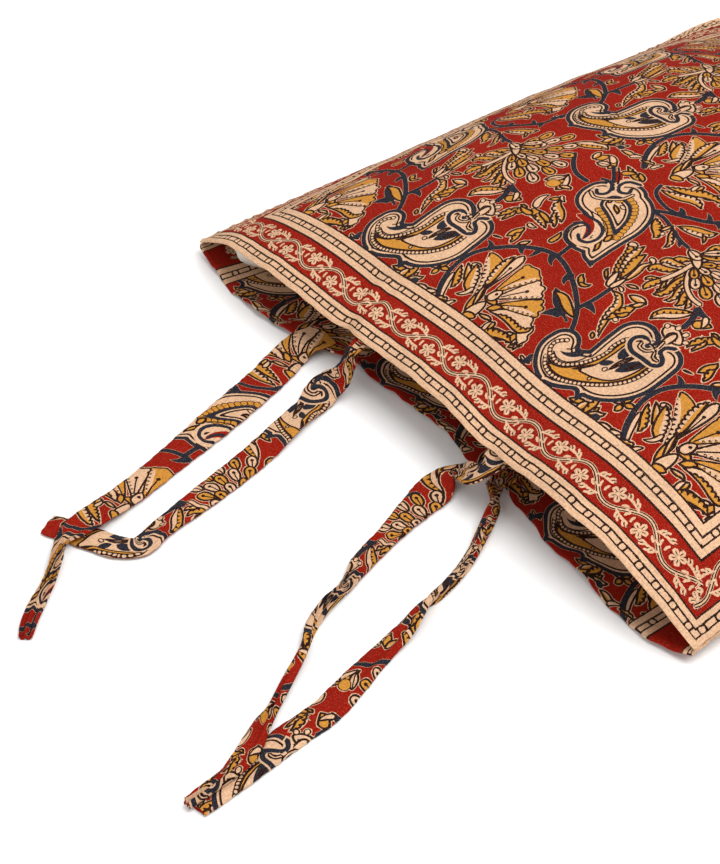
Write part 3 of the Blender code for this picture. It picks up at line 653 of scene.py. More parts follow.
@dataclass(frozen=True)
class Leaves:
    """Buds, leaves and small flowers that fill the ground between the large motifs.

    Attributes:
        rows: What blade() takes for each of them, the lowest first.
    """

    rows: tuple[BladeRow, ...] = (
        # The tall bud: a serrated leaf, two tongues, a curled blade and the calyx.
        (-15, 40, 122, 28, 6, -22, Style.MUSTARD_TEETH),
        (-13.6, 41, 112, 27, 6.6, 6, Style.HALF_TEETH),
        (-12.4, 42, 106, 22, 6.4, 6, Style.MUSTARD_TEETH),
        (-10.4, 41, 78, 23, 4.4, 52, Style.HALF_LEAF),
        (-13.4, 62, 40, 6, 3.6, -150, Style.CURL),
        (-28.6, 62, 60, 5.4, 4.2, -90, Style.CURL),
        (-17, 37.6, 128, 9, 3, 30, Style.MUSTARD_LEAF),
        (-7.6, 42, 20, 8, 3.2, 0, Style.HALF_LEAF),
        (-13, 35.6, 116, 11, 5, -10, Style.LOBE_BEIGE),
        (-11.6, 35.6, 78, 10, 4.4, 10, Style.LOBE_BEIGE),
        # The curved pair above the lying paisley, the long leaf, the crown and its navy leaf.
        (8.6, 11.4, 132, 33, 5.4, -56, Style.HALF_TEETH),
        (-5.2, 37.6, 120, 5, 3, 100, Style.CURL),
        (2.4, 20.6, 76, 17, 6.4, -10, Style.MUSTARD_TEETH),
        (7.4, 31, -78, 7.6, 3.8, -120, Style.CURL_MUSTARD),
        (4.6, 24.2, 0, 3.4, 3.2, 0, Style.ROUND),
        (-1, 38.6, 8, 11.6, 5, 6, Style.HALF_LEAF),
        (5.4, 34, 60, 7.6, 4, -10, Style.HALF_LEAF),
        (3.6, 12.6, -50, 5, 3.2, 20, Style.MUSTARD_LEAF),
        (30.4, 51, 232, 21, 7.4, -26, Style.SPLIT_LEAF),
        (27.2, 36.6, -16, 14, 8.6, 0, Style.LOBE_BEIGE),
        (28.6, 36, 140, 3.4, 3.4, 0, Style.ROUND),
        (32.4, 37.6, 100, 3.6, 3.6, 0, Style.ROUND),
        (36.6, 37, 60, 3.6, 3.6, 0, Style.ROUND),
        (39.4, 34.6, 20, 3.4, 3.4, 0, Style.ROUND),
        (33.6, 30.6, 92, 6.2, 5.6, 0, Style.MUSTARD_LEAF),
        (31.4, 32, 12, 6, 3.4, 0, Style.MUSTARD_LEAF),
        (35, 45, 52, 9, 6.2, -40, Style.CURL_MUSTARD),
        (35.6, 52, -30, 7.6, 4, -60, Style.CURL),
        (43.4, 33, 104, 19, 5.6, -116, Style.MUSTARD_TEETH),
        (46.4, 33, 96, 10, 3.6, -40, Style.HALF_FINGER),
        # The beige S and the toothed mustard leaf inside the arc, and the small bud over it.
        (-79, 3.2, -34, 17, 4.6, -30, Style.HALF_LEAF),
        (-76, 3, 62, 6, 3.4, -90, Style.CURL),
        (-74.6, 5.4, -50, 21, 7.6, -16, Style.HALF_TEETH),
        (-66.4, 1, 70, 4.6, 3, 60, Style.CURL),
        (-63.4, -7, -76, 9.6, 3.6, -84, Style.CURL),
        (-80.6, 0.6, -58, 17, 5, 12, Style.MUSTARD_TEETH),
        (-22.4, 26.4, 128, 9.6, 4.2, 30, Style.MUSTARD_LEAF),
        (-25, 28.4, -24, 7, 3.4, 104, Style.CURL_MUSTARD),
        # The beige curls and the mustard leaf below the fan flower's longest petal.
        (-38.6, -21.4, 84, 7, 4.4, -30, Style.HALF_LEAF),
        (-36, -21.4, 62, 9, 4.6, -70, Style.CURL),
        (-33.4, -21, 36, 9, 3.6, 20, Style.HALF_LEAF),
        (-30.6, -22.4, 48, 11.6, 5, 26, Style.SPLIT_LEAF),
        (-23.6, -20, 88, 9, 4.6, -14, Style.MUSTARD_LEAF),
        (-21.4, -20.6, 40, 8.4, 4, 40, Style.FINGER_MUSTARD),
        (-17.4, -20.6, 104, 8, 3.2, 0, Style.HALF_LEAF),
        # Leaves on both sides of the upright paisley and along the stem above it.
        (-34.6, 84.8, -48, 17, 6.6, 36, Style.MUSTARD_TEETH),
        (-24, 87, -108, 9, 3.6, 24, Style.HALF_LEAF),
        (-23, 86, -62, 17.6, 4, 36, Style.HALF_TEETH),
        (-23.2, 77, 80, 3, 3, 0, Style.ROUND),
        (-22.6, 87.6, 28, 21, 7.4, -18, Style.SPLIT_BACK),
        (-8.4, 92, -30, 6.4, 3, -40, Style.CURL_MUSTARD),
        (-50.8, 104.6, 22, 33, 6.2, 18, Style.MUSTARD_TEETH),
        (-50.4, 101.4, 8, 27, 6.4, 34, Style.HALF_TEETH),
        (-38.6, 112, 118, 6.6, 3.6, -60, Style.CURL),
        (-76, 103.4, -20, 16, 4.6, -6, Style.MUSTARD_TEETH),
        (-72.6, 96.6, 58, 8, 4.8, -30, Style.CURL_MUSTARD),
        (-67.4, 103.6, -34, 9, 4, 20, Style.MUSTARD_LEAF),
        (-80.4, 94.4, 100, 9, 5.6, 30, Style.MUSTARD_LEAF),
        (-82.6, 100, 130, 9, 4.6, 50, Style.CURL),
        (-83, 58, 62, 7, 3.6, -40, Style.MUSTARD_LEAF),
        (-80, 64.6, -62, 6, 3, 70, Style.CURL),
        # The leaves, trumpet flower and curls between one upright paisley and the next.
        (67.4, 46.6, 168, 17, 6.8, 30, Style.MUSTARD_TEETH),
        (71.6, 50, 138, 19, 6.2, 34, Style.HALF_TEETH),
        (71, 45.6, 128, 12, 4, 40, Style.HALF_FINGER),
        (68.8, 42.4, 150, 15, 4.4, 34, Style.HALF_TEETH),
        (54.6, 45.8, 196, 9.6, 4.6, -40, Style.CURL_MUSTARD),
        (52.6, 50.6, 148, 11.6, 5, -90, Style.CURL),
        (59, 40.2, -40, 6, 3.4, 90, Style.CURL),
        (57.4, 26.6, 78, 11, 5, -20, Style.MUSTARD_LEAF),
        (62.6, 24.6, 98, 9.6, 4.4, 20, Style.MUSTARD_TEETH),
        (66, 26, 60, 7.4, 3.6, -20, Style.HALF_LEAF),
        (76.8, 37.4, 64, 9, 4.2, 60, Style.CURL_MUSTARD),
        (43.4, 79, -64, 15, 7, 14, Style.SPLIT_LEAF),
        (44.6, 77.6, -112, 12, 5.6, -16, Style.BEIGE_VEIN),
        (41.4, 66, 40, 7.6, 6.6, 0, Style.ROUND_MUSTARD),
        (47.4, 69, 10, 8, 3.8, 40, Style.HALF_LEAF),
        (22, 99.6, 24, 21, 7.6, 16, Style.SPLIT_LEAF),
        (30, 106.6, 50, 17, 5, -40, Style.HALF_TEETH),
        (43, 96, 62, 8.6, 6, 0, Style.MUSTARD_LEAF),
        (46, 95, 20, 8.6, 5.6, 0, Style.BEIGE_VEIN),
        (42.6, 95.6, 108, 8, 5, 0, Style.HALF_LEAF),
        # The small flower right of the lying paisley, and the florets cut off by the border.
        (47.4, -7.6, 92, 7.6, 4.6, 0, Style.MUSTARD_LEAF),
        (47.4, -7.6, -88, 5.6, 4.4, 0, Style.MUSTARD_LEAF),
        (47.4, -7.6, 190, 7.6, 3.8, 0, Style.HALF_LEAF),
        (47.4, -7.6, 20, 6, 4.2, 0, Style.MUSTARD_LEAF),
        (46.2, -8.2, 0, 2.4, 2, 0, Style.PIP),
        (25, -20.6, 14, 11, 4, 10, Style.MUSTARD_LEAF),
        (37, -24, 92, 12, 5, -12, Style.MUSTARD_TEETH),
        (38.4, -22, 40, 10, 4, -30, Style.HALF_LEAF),
        (33, -24, 80, 8, 5, 0, Style.HALF_LEAF),
        (41.4, -20, -10, 4.6, 3.6, 0, Style.NAVY_DROP),
        (46, -22.6, 24, 10.6, 4.4, -50, Style.HALF_LEAF),
        (54, -23.6, 60, 7.4, 4, -50, Style.CURL),
        (60, -22, 10, 9, 3.4, 20, Style.HALF_FINGER),
        (-66, -23.6, 96, 6.6, 3.6, -60, Style.CURL),
    )

    def marks(self) -> Motif:
        """All the fillers of one repeat."""
        return list(self.rows)


REPEAT = np.array([135.6, 133.7])  # period of the field along the mouth and from it, in millimetres
FIELD_START = np.array([108.7, 62.0])  # where the first lying paisley's tail ends


def field_marks() -> list[Mark]:
    """Every mark of one repeat of the field, the lowest first."""
    motifs = (Stems(), Leaves(), FanFlower(), FeatherFlower(), LyingPaisley(), UprightPaisley())
    return [blade(*mark) if isinstance(mark, tuple) else mark for motif in motifs for mark in motif.marks()]


class PrintBlock:
    """Lays printed marks on the faces of a mesh, a few on each face, the lowest first.

    Attributes:
        LAYERS: How many marks a face can carry.
        HALO: Widest bare rim round a mark, in millimetres.
        COARSE: Faces that reach further from their centre than this carry no marks.
        COVERED: A face that lies this deep in a mark shows nothing below it.
    """

    LAYERS = 5
    HALO = 0.45
    COARSE = 1.8
    COVERED = 0.4

    def __init__(self, flat: Array, quads: Array) -> None:
        """Takes the cloth's flat coordinates.

        Args:
            flat: Flat place of each vertex, in millimetres.
            quads: Vertices of each four-sided face.
        """
        self.flat, self.quads = flat, quads
        corners = flat[quads]
        centre = corners.mean(axis=1)
        self.cell = np.linalg.norm(corners - centre[:, None], axis=-1).max(axis=1)
        self.along, self.deep = centre.T.copy()
        self.used = np.zeros(len(quads), dtype=int)
        self.place = np.zeros((self.LAYERS, len(quads), 4, 3), dtype=np.float32)
        self.place[..., 0], self.place[..., 1] = 0.5, 99.0
        self.facts = np.zeros((self.LAYERS, 3, len(quads), 3), dtype=np.float32)
        self.facts[:, 1, :, 0] = 1.0
        self.best = np.zeros((self.LAYERS, len(quads)), dtype=np.float32)

    def stamp(self, mark: Mark, shift: Array, open_to: Array) -> None:
        """Adds a mark to the faces that it or its rim touches, and clears those that it covers whole.

        Args:
            mark: The mark.
            shift: Where its origin lies in the flat cloth.
            open_to: Which faces may carry it.
        """
        low, high = mark.reach
        rim = self.HALO + self.COARSE
        (left, near), (right, far) = low + shift - rim, high + shift + rim
        within = (self.along > left) & (self.along < right) & (self.deep > near) & (self.deep < far)
        faces = np.flatnonzero(within & open_to)
        if not len(faces):
            return
        points, corners = np.unique(self.quads[faces], return_inverse=True)
        t, a = mark.place(self.flat[points] - shift)
        there = np.stack([t, a, mark.depth(t, a)], axis=-1)[corners].reshape(-1, 4, 3)
        depth = there[..., 2]
        touched = depth.max(axis=1) > -(self.HALO + self.cell[faces])
        faces, there, depth = faces[touched], there[touched], depth[touched]
        self.used[faces[depth.min(axis=1) > self.COVERED]] = 0
        self.make_room(faces)
        layer = self.used[faces]
        self.place[layer, faces, :, :2] = there[..., :2]
        self.place[layer, faces, :, 2] = mark.style.value.rim
        self.facts[layer, :, faces] = self.facts_of(mark)
        self.best[layer, faces] = depth.max(axis=1)
        self.used[faces] += 1

    def make_room(self, faces: Array) -> None:
        """Drops, on full faces, the mark that shows least, and moves those above it down a layer.

        Args:
            faces: Faces that will take one more mark.
        """
        full = faces[self.used[faces] == self.LAYERS]
        if not len(full):
            return
        drop = self.best[:, full].argmin(axis=0)
        layers = np.arange(self.LAYERS)[:, None]
        order = np.argsort(np.where(layers == drop, self.LAYERS, layers), axis=0)
        self.place[:, full] = self.place[order, full]
        self.facts[:, :, full] = np.take_along_axis(self.facts[:, :, full], order[:, None, :, None], axis=0)
        self.best[:, full] = np.take_along_axis(self.best[:, full], order, axis=0)
        self.used[full] -= 1

    @staticmethod
    def facts_of(mark: Mark) -> Array:
        """A mark's numbers as three rows: its profile, its size and inks, and its inner lines."""
        look = mark.style.value
        right = look.left if look.right is None else look.right
        return np.array([
            (mark.scale, look.foot, look.tip),
            (mark.length, look.left + len(Ink) * right, look.line),
            (look.vein, look.tick, look.dot),
        ])

    def write(self, mesh: bpy.types.Mesh) -> None:
        """Stores the marks as attributes of a mesh whose first faces are the block's own."""
        rest = len(mesh.loops) - self.quads.size
        others = len(mesh.polygons) - len(self.quads)
        blank = np.tile(np.array([0.5, 99.0, 0.0], dtype=np.float32), (rest, 1))
        self.place[np.arange(self.LAYERS)[:, None] >= self.used] = (0.5, 99.0, 0.0)
        for layer in range(self.LAYERS):
            place = np.concatenate([self.place[layer].reshape(-1, 3), blank])
            put_vectors(mesh, mark_attribute(layer, "place"), "CORNER", place)
            for row, name in enumerate(MARK_FACTS):
                plain = np.tile(np.array([0.0 if row != 1 else 1.0, 0.0, 0.0], dtype=np.float32), (others, 1))
                put_vectors(mesh, mark_attribute(layer, name), "FACE",
                            np.concatenate([self.facts[layer, row], plain]))


MARK_FACTS = ("profile", "size", "lines")


def mark_attribute(layer: int, name: str) -> str:
    """Name of the attribute that holds one fact of a layer's marks."""
    return f"mark_{layer}_{name}"


def put_vectors(mesh: bpy.types.Mesh, name: str, domain: str, values: Array) -> None:
    """Stores one vector for each corner, face or point of a mesh."""
    made = mesh.attributes.new(name, "FLOAT_VECTOR", domain)
    made.data.foreach_set("vector", np.ascontiguousarray(values, dtype=np.float32).ravel())


@dataclass(frozen=True)
class Border:
    """The border's bands by depth from the cloth's edge, and the vine in its red band, in millimetres.

    Attributes:
        total: Depth of the whole border.
        bands: Where each band begins, and its ink.
        rows: Depths of the two rows of bars and rounds.
        bar_pitch: From one bar to the next, with a round between.
        bar_end: Where a bar ends in that length; bar_half is half its width.
        bar_line: Dark line round bars and rounds.
        round_place: A round's middle in the pitch; round_half is its radius.
        red: Where the red band begins and ends.
        pitch: Length of one wave of the vine.
        first_crest: Where the vine first bends away from the edge.
        swing: How far it swings to each side of its middle depth.
        ends: Where its marks begin and end along a side.
    """

    total: float = 40.6
    bands: tuple[tuple[float, Ink], ...] = (
        (0.0, Ink.BEIGE), (2.6, Ink.BLACK), (3.2, Ink.BEIGE), (6.1, Ink.BLACK), (6.7, Ink.BEIGE),
        (9.2, Ink.BLACK), (10.3, Ink.RED), (27.3, Ink.BLACK), (28.4, Ink.BEIGE), (31.6, Ink.BLACK),
        (32.2, Ink.BEIGE), (35.3, Ink.BLACK), (35.9, Ink.BEIGE), (39.5, Ink.BLACK), (40.6, Ink.BLACK),
    )
    rows: tuple[float, float] = (4.65, 33.75)
    bar_pitch: float = 10.9
    bar_end: float = 7.1
    bar_half: float = 1.55
    bar_line: float = 0.38
    round_place: float = 9.0
    round_half: float = 1.72
    red: tuple[float, float] = (10.2, 27.4)
    pitch: float = 38.6
    first_crest: float = 36.0
    swing: float = 4.5
    middle: float = 18.0
    ends: tuple[float, float] = (12.0, 388.0)

    def vine(self, side: "Side") -> list[Mark]:
        """The waving vine of one side, with its flowers and curls.

        Args:
            side: Which side of the cloth it follows.

        Returns:
            The marks, the lowest first.
        """
        start, end = self.ends
        along = np.arange(start + 1, end, 2.2)
        wave = self.middle + self.swing * np.cos(2 * math.pi * (along - self.first_crest) / self.pitch)
        made: list[Mark] = [Strip(np.stack([along, wave], axis=-1), 0.95, Style.VINE)]
        for step in range(-1, 11):
            crest = self.first_crest + self.pitch * step
            for place, way in ((crest, 1), (crest + self.pitch / 2, -1)):
                made += self.curls(place, way)
                made += self.flower(place + 1.0, self.middle - way * 2.5)
        return [side.carry(mark) for mark in made if start < mark.axis[0, 0] < end]

    def curls(self, along: float, way: int) -> list[Mark]:
        """Small curled leaves in a comb outside the vine's bend, a sprig inside it, and dark ticks.

        Args:
            along: Place of the bend.
            way: 1 where the vine bends away from the cloth's edge, -1 towards it.

        Returns:
            The marks.
        """
        made: list[Mark] = []
        for hand in (-1, 1):
            start = (along + hand * 5.6, self.middle + way * (self.swing - 1.6))
            stalk = blade(*start, way * (90 - hand * 58), 8.6, 1.15, way * hand * -44, Style.VINE_CURL)
            made.append(stalk)
            for share, length in ((0.25, 3.0), (0.5, 3.4), (0.75, 3.0), (1.0, 2.2)):
                spot = stalk.axis[round(share * (len(stalk.axis) - 1))]
                heading, bend = way * (90 - hand * 24 * share), way * hand * -50
                made.append(blade(*spot, heading, length, 1.05, bend, Style.VINE_CURL))
                made.append(blade(*(spot + (hand * 0.9, way * 0.4)), heading, 1.7, 0.5, bend, Style.TICK))
        for offset, heading in ((-5.6, 215), (-3.6, 245), (6.4, -35), (4.8, -64)):
            spot = (along + offset * 1.35, self.middle + way * (self.swing - 4.4))
            made.append(blade(*spot, way * heading, 3.0, 1.0, way * 60, Style.VINE_CURL))
        return made

    def flower(self, along: float, deep: float) -> list[Mark]:
        """A five-petalled flower, each petal with a dark vein and a dark mark beside it.

        Args:
            along: Place of its middle along the side.
            deep: Its depth.

        Returns:
            The marks.
        """
        made: list[Mark] = []
        for petal in range(5):
            angle = 90 + 72 * petal
            start = (along, deep) + direction(angle) * 1.0
            made.append(blade(start[0], start[1], angle, 2.9, 2.4, 0, Style.VINE_PETAL))
            made.append(blade(start[0], start[1], angle, 2.0, 0.5, 0, Style.TICK))
            gap = (along, deep) + direction(angle + 36) * 2.8
            made.append(blade(gap[0], gap[1], angle + 36, 1.6, 0.6, 0, Style.TICK))
        made.append(blade(along - 0.8, deep, 0, 1.6, 1.6, 0, Style.VINE_PETAL))
        return made


class Side(Enum):
    """A side of the square cloth, as the origin and the two directions that carry its border there."""

    MOUTH = ((0, 0), (1, 0), (0, 1))
    RIGHT = ((400, 0), (0, 1), (-1, 0))
    FAR = ((400, 400), (-1, 0), (0, -1))
    LEFT = ((0, 400), (0, -1), (1, 0))

    def carry(self, mark: Strip) -> Strip:
        """A mark drawn for the mouth's side, moved to this side."""
        origin, along, deep = (np.array(part) for part in self.value)
        axis = origin + mark.axis[:, :1] * along + mark.axis[:, 1:] * deep
        return Strip(axis, mark.half, mark.style)

    def depth(self, flat: Array) -> Array:
        """How far points lie from this side."""
        origin, _, deep = (np.array(part) for part in self.value)
        return (flat - origin) @ deep


@dataclass(frozen=True)
class ClothPrint:
    """How a piece was cut from the printed cloth.

    Attributes:
        sides: The sides that carry the border.
        shift: How far the field is moved in the flat cloth, in millimetres.
        turn: How far it is turned, in degrees.
    """

    sides: tuple[Side, ...] = ()
    shift: tuple[float, float] = (0.0, 0.0)
    turn: float = 0.0

    def lay(self, flat: Array, quads: Array) -> PrintBlock:
        """Lays the field and the vines on a mesh.

        Args:
            flat: Flat place of each vertex, in millimetres.
            quads: Vertices of each four-sided face.

        Returns:
            The block with its marks laid.
        """
        cos, sin = direction(self.turn)
        drawn = flat @ np.array([[cos, -sin], [sin, cos]]) - np.array(self.shift) - FIELD_START
        block = PrintBlock(drawn, quads)
        border = Border()
        depths = {side: side.depth(flat)[quads].mean(axis=1) for side in self.sides}
        nearest = np.min(list(depths.values()), axis=0) if depths else np.full(len(quads), CLOTH / MM)
        fine = block.cell < block.COARSE
        field = (nearest > border.total - 2.0) & fine
        first, last = (np.floor(drawn.min(axis=0) / REPEAT) - 1, np.ceil(drawn.max(axis=0) / REPEAT) + 1)
        places = [np.array([i, j]) * REPEAT for i in np.arange(first[0], last[0] + 1)
                  for j in np.arange(first[1], last[1] + 1)]
        for mark in field_marks():
            for place in places:
                block.stamp(mark, place, field)
        back = np.array(self.shift) + FIELD_START
        for side, depth in depths.items():
            band = fine & (depth <= nearest + 1.5)
            band &= (depth > border.red[0] - 2.0) & (depth < border.red[1] + 2.0)
            for mark in border.vine(side):
                block.stamp(mark, -back, band)
        return block


INK_COLOURS: dict[Ink, tuple[float, float, float]] = {
    Ink.BEIGE: (0.65, 0.405, 0.25),
    Ink.MUSTARD: (0.53, 0.23, 0.035),
    Ink.NAVY: (0.015, 0.017, 0.026),
    Ink.RED: (0.26, 0.0075, 0.0024),
    Ink.BLACK: (0.020, 0.0065, 0.0055),
}
INKS = float(len(Ink))


def adds(operation: str) -> Callable[..., "Value"]:
    """Makes a method of Value that adds one kind of Math node, fed by the value and any others."""
    def method(self: "Value", *others: "Value | float") -> "Value":
        """Adds the node."""
        return self.nodes.node("ShaderNodeMath", {"operation": operation}, dict(enumerate((self, *others))))
    return method


class Value:
    """A socket's output, with operators and short methods that add Math nodes."""

    __add__ = __radd__ = adds("ADD")
    __sub__ = adds("SUBTRACT")
    __mul__ = __rmul__ = adds("MULTIPLY")
    __truediv__ = adds("DIVIDE")
    __pow__ = adds("POWER")
    __gt__ = adds("GREATER_THAN")
    __lt__ = adds("LESS_THAN")
    above = adds("MAXIMUM")
    below = adds("MINIMUM")
    size = adds("ABSOLUTE")
    fraction = adds("FRACT")
    floor = adds("FLOOR")
    wave = adds("SINE")

    def __init__(self, nodes: "NodeFinish", socket: bpy.types.NodeSocket) -> None:
        """Wraps a socket."""
        self.nodes, self.socket = nodes, socket

    def __rsub__(self, other: float) -> "Value":
        """A number less this value."""
        return self.nodes.node("ShaderNodeMath", {"operation": "SUBTRACT"}, {0: other, 1: self})

    def __neg__(self) -> "Value":
        """This value with its sign turned."""
        return self * -1.0

    def clamped(self, low: float, high: float) -> "Value":
        """This value held between two numbers."""
        return self.above(low).below(high)


class NodeFinish:
    """A material under construction."""

    def __init__(self, name: str) -> None:
        """Makes an empty material with its shader and output."""
        self.material = bpy.data.materials.new(name)
        self.material.use_nodes = True
        self.tree = self.material.node_tree
        self.shader = self.tree.nodes["Principled BSDF"]

    def node(self, kind: str, settings: dict | None = None, sockets: dict | None = None,
             out: int | str = 0) -> Value:
        """Adds a node.

        Args:
            kind: The node's type.
            settings: Its properties; stops fill a colour ramp.
            sockets: Values or links of its inputs, by name or number.
            out: Which output to return.

        Returns:
            The output, wrapped.
        """
        made = self.tree.nodes.new(kind)
        for name, setting in (settings or {}).items():
            if name == "stops":
                self.fill_ramp(made.color_ramp, setting)
            else:
                setattr(made, name, setting)
        for name, value in (sockets or {}).items():
            self.feed(made.inputs[name], value)
        return Value(self, made.outputs[out])

    def feed(self, socket: bpy.types.NodeSocket, value: object) -> None:
        """Links a value to a socket, or sets the socket's own number or colour."""
        if isinstance(value, Value):
            self.tree.links.new(value.socket, socket)
        else:
            socket.default_value = value

    def finished(self, specular: float, **inputs: object) -> bpy.types.Material:
        """Feeds the shader, whose own sockets are named here with _ for a space, and returns the material."""
        for name, value in inputs.items():
            self.feed(self.shader.inputs[name.replace("_", " ")], value)
        self.shader.inputs["Specular IOR Level"].default_value = specular
        return self.material

    @staticmethod
    def fill_ramp(ramp: bpy.types.ColorRamp, stops: list[tuple[float, tuple[float, float, float]]]) -> None:
        """Makes a stepped ramp of places and colours."""
        ramp.interpolation = "CONSTANT"
        ramp.elements.remove(ramp.elements[1])
        ramp.elements[0].position = stops[0][0]
        ramp.elements[0].color = (*stops[0][1], 1.0)
        for place, colour in stops[1:]:
            ramp.elements.new(place).color = (*colour, 1.0)

    def attribute(self, name: str) -> tuple[Value, Value, Value]:
        """The three numbers of a vector attribute."""
        return self.split(self.node("ShaderNodeAttribute", {"attribute_name": name}, out="Vector"))

    def split(self, vector: Value) -> tuple[Value, Value, Value]:
        """The three numbers of a vector."""
        outputs = self.node("ShaderNodeSeparateXYZ", None, {0: vector}).socket.node.outputs
        return Value(self, outputs[0]), Value(self, outputs[1]), Value(self, outputs[2])

    def joined(self, x: Value | float, y: Value | float, z: Value | float = 0.0) -> Value:
        """A vector of three numbers."""
        return self.node("ShaderNodeCombineXYZ", None, {0: x, 1: y, 2: z})

    def noise(self, where: Value, scale: float, detail: float = 2.0) -> Value:
        """A cloudy value from 0 to 1."""
        return self.node("ShaderNodeTexNoise", None, {"Vector": where, "Scale": scale, "Detail": detail})

    def mixed(self, share: Value | float, first: Value | float, second: Value | float) -> Value:
        """A number between two."""
        return self.node("ShaderNodeMix", {"data_type": "FLOAT"}, {0: share, 2: first, 3: second})

    def blended(self, kind: str, share: Value | float, first: Value | tuple, second: Value | tuple) -> Value:
        """A colour mixed from two."""
        return self.node("ShaderNodeMix", {"data_type": "RGBA", "blend_type": kind},
                         {0: share, 6: first, 7: second}, out=2)

    def toned(self, colour: Value | tuple, tone: Value) -> Value:
        """A colour made lighter or darker."""
        return self.blended("MULTIPLY", 1.0, colour, self.joined(tone, tone, tone))

    def bump(self, height: Value, strength: float, distance: float) -> Value:
        """A normal raised by a height."""
        return self.node("ShaderNodeBump", None,
                         {"Strength": strength, "Distance": distance, "Height": height})


class PrintNodes(NodeFinish):
    """The nodes that find the ink at a place of the printed cloth."""

    def __init__(self, name: str, spread: float) -> None:
        """Finds the flat place, and how far a printed edge strays there, at most half the spread."""
        super().__init__(name)
        self.cloth = self.node("ShaderNodeAttribute", {"attribute_name": "cloth"}, out="Vector")
        self.u, self.v, _ = self.split(self.cloth)
        self.wander = (self.noise(self.cloth, 1.4, 1.0) - 0.5) * spread

    def depth(self, layer: int) -> tuple[Value, Value, Value, Value]:
        """Depth inside a layer's mark, as Strip.depth says.

        Args:
            layer: Which mark.

        Returns:
            The depth, the share of the length, the distance across, and the length.
        """
        t, a, _ = self.attribute(mark_attribute(layer, "place"))
        scale, foot, tip = self.attribute(mark_attribute(layer, "profile"))
        length, _, _ = self.attribute(mark_attribute(layer, "size"))
        held = t.clamped(END_SHARE, 1 - END_SHARE)
        rest = 1 - held
        half = scale * held ** foot * rest ** tip
        slope = half * (foot / held - tip / rest) / length
        over = (-t).above(t - 1).above(0.0) * length
        return (half - a.size()) / (slope * slope + 1) ** 0.5 - over, t, a, length

    def rim(self, ink: Value | float, layer: int) -> Value:
        """Leaves the cloth bare in a thin rim round a mark."""
        depth, _, _, _ = self.depth(layer)
        _, _, width = self.attribute(mark_attribute(layer, "place"))
        return self.mixed((depth + self.wander * 1.5) > -width, ink, float(Ink.BEIGE))

    def painted(self, ink: Value, layer: int) -> Value:
        """Paints a mark over what lies below it.

        Args:
            ink: Ink number so far.
            layer: Which mark.

        Returns:
            Ink number with the mark.
        """
        wander = self.wander
        depth, t, a, length = self.depth(layer)
        _, code, line = self.attribute(mark_attribute(layer, "size"))
        vein, tick, dot = self.attribute(mark_attribute(layer, "lines"))
        right = (code / INKS).floor()
        left = code - right * INKS
        along = t * length
        dotted = dot > 0.01
        tooth = (((along / TOOTH_PITCH + wander).fraction() * 2 - 1).size() * 1.5 - 0.5).above(0.0)
        tooth = tooth * tick * (1 - dotted)
        from_edge = tooth.above(0.0) * (a > 0.0)
        from_axis = (-tooth).above(0.0) * (a < 0.0)
        depth = depth + wander - from_edge * NOTCH
        cell = ((along / (tick.size() + 0.001)).fraction() - 0.5) * tick
        from_dot = (cell * cell + a * a) ** 0.5
        fill = self.mixed((dotted * (from_dot < dot)).above((a > 0.0) * (1 - dotted)), right, left)
        edge = depth < (line * (wander * 1.6 + 1.0) + from_edge * (1 - NOTCH))
        inner = vein.size().above((tick < 0.0) * 0.2).above(from_axis)
        stretch = (t > VEIN_START) * (t < (1 - (vein < 0.0) * (1 - VEIN_END)))
        middle = ((a + wander).size() < inner) * stretch
        end = (t - VEIN_END) * length
        end_dot = ((end * end + a * a) ** 0.5) < ((-vein) * VEIN_DOT)
        seam = (cell.size() > (tick * 0.5 - DOT_SEAM)) * (from_dot < dot)
        outline = ((from_dot - dot).size() < DOT_LINE).above(seam) * dotted * (code < INKS * Ink.BLACK)
        dark = edge.above(middle).above(end_dot).above(outline)
        return self.mixed(depth > 0.0, ink, self.mixed(dark, fill, float(Ink.BLACK)))

    def bordered(self, ink: Value, at_mouth: bool) -> Value:
        """Prints the border's bands, rails, bars and rounds over the ground.

        Args:
            ink: Ink number so far.
            at_mouth: Whether the mouth's side has a border too.

        Returns:
            Ink number with the border.
        """
        border, side = Border(), CLOTH / MM
        across = self.u.below(side - self.u)
        down = self.v.below(side - self.v) if at_mouth else side - self.v
        depth = across.below(down) + self.wander * 1.6
        along = self.mixed(across < down, self.u, self.v)
        stops = [(place / border.total, ((int(band) + 0.5) / INKS,) * 3) for place, band in border.bands]
        band = self.node("ShaderNodeValToRGB", {"stops": stops}, {0: depth / border.total})
        number = (self.split(band)[0] * INKS).floor()
        cell = ((along + self.wander * 1.4) / border.bar_pitch).fraction() * border.bar_pitch
        shape = None
        for row in border.rows:
            off = (depth - row).size()
            bar = (cell - 0.1).below(border.bar_end - cell).below(border.bar_half - off)
            spot = (cell - border.round_place).size()
            here = bar.above(border.round_half - (spot ** 3.0 + off ** 3.0) ** (1 / 3))
            shape = here if shape is None else shape.above(here)
        lined = (depth - border.rows[0]).size().below((depth - border.rows[1]).size()) < 1.6
        hollow = (shape < (self.wander + border.bar_line)) * lined
        number = self.mixed(hollow, number, float(Ink.BLACK))
        printed = ((depth < border.red[0]).above(depth > border.red[1])) * (depth < border.total)
        return self.mixed(printed, ink, number)


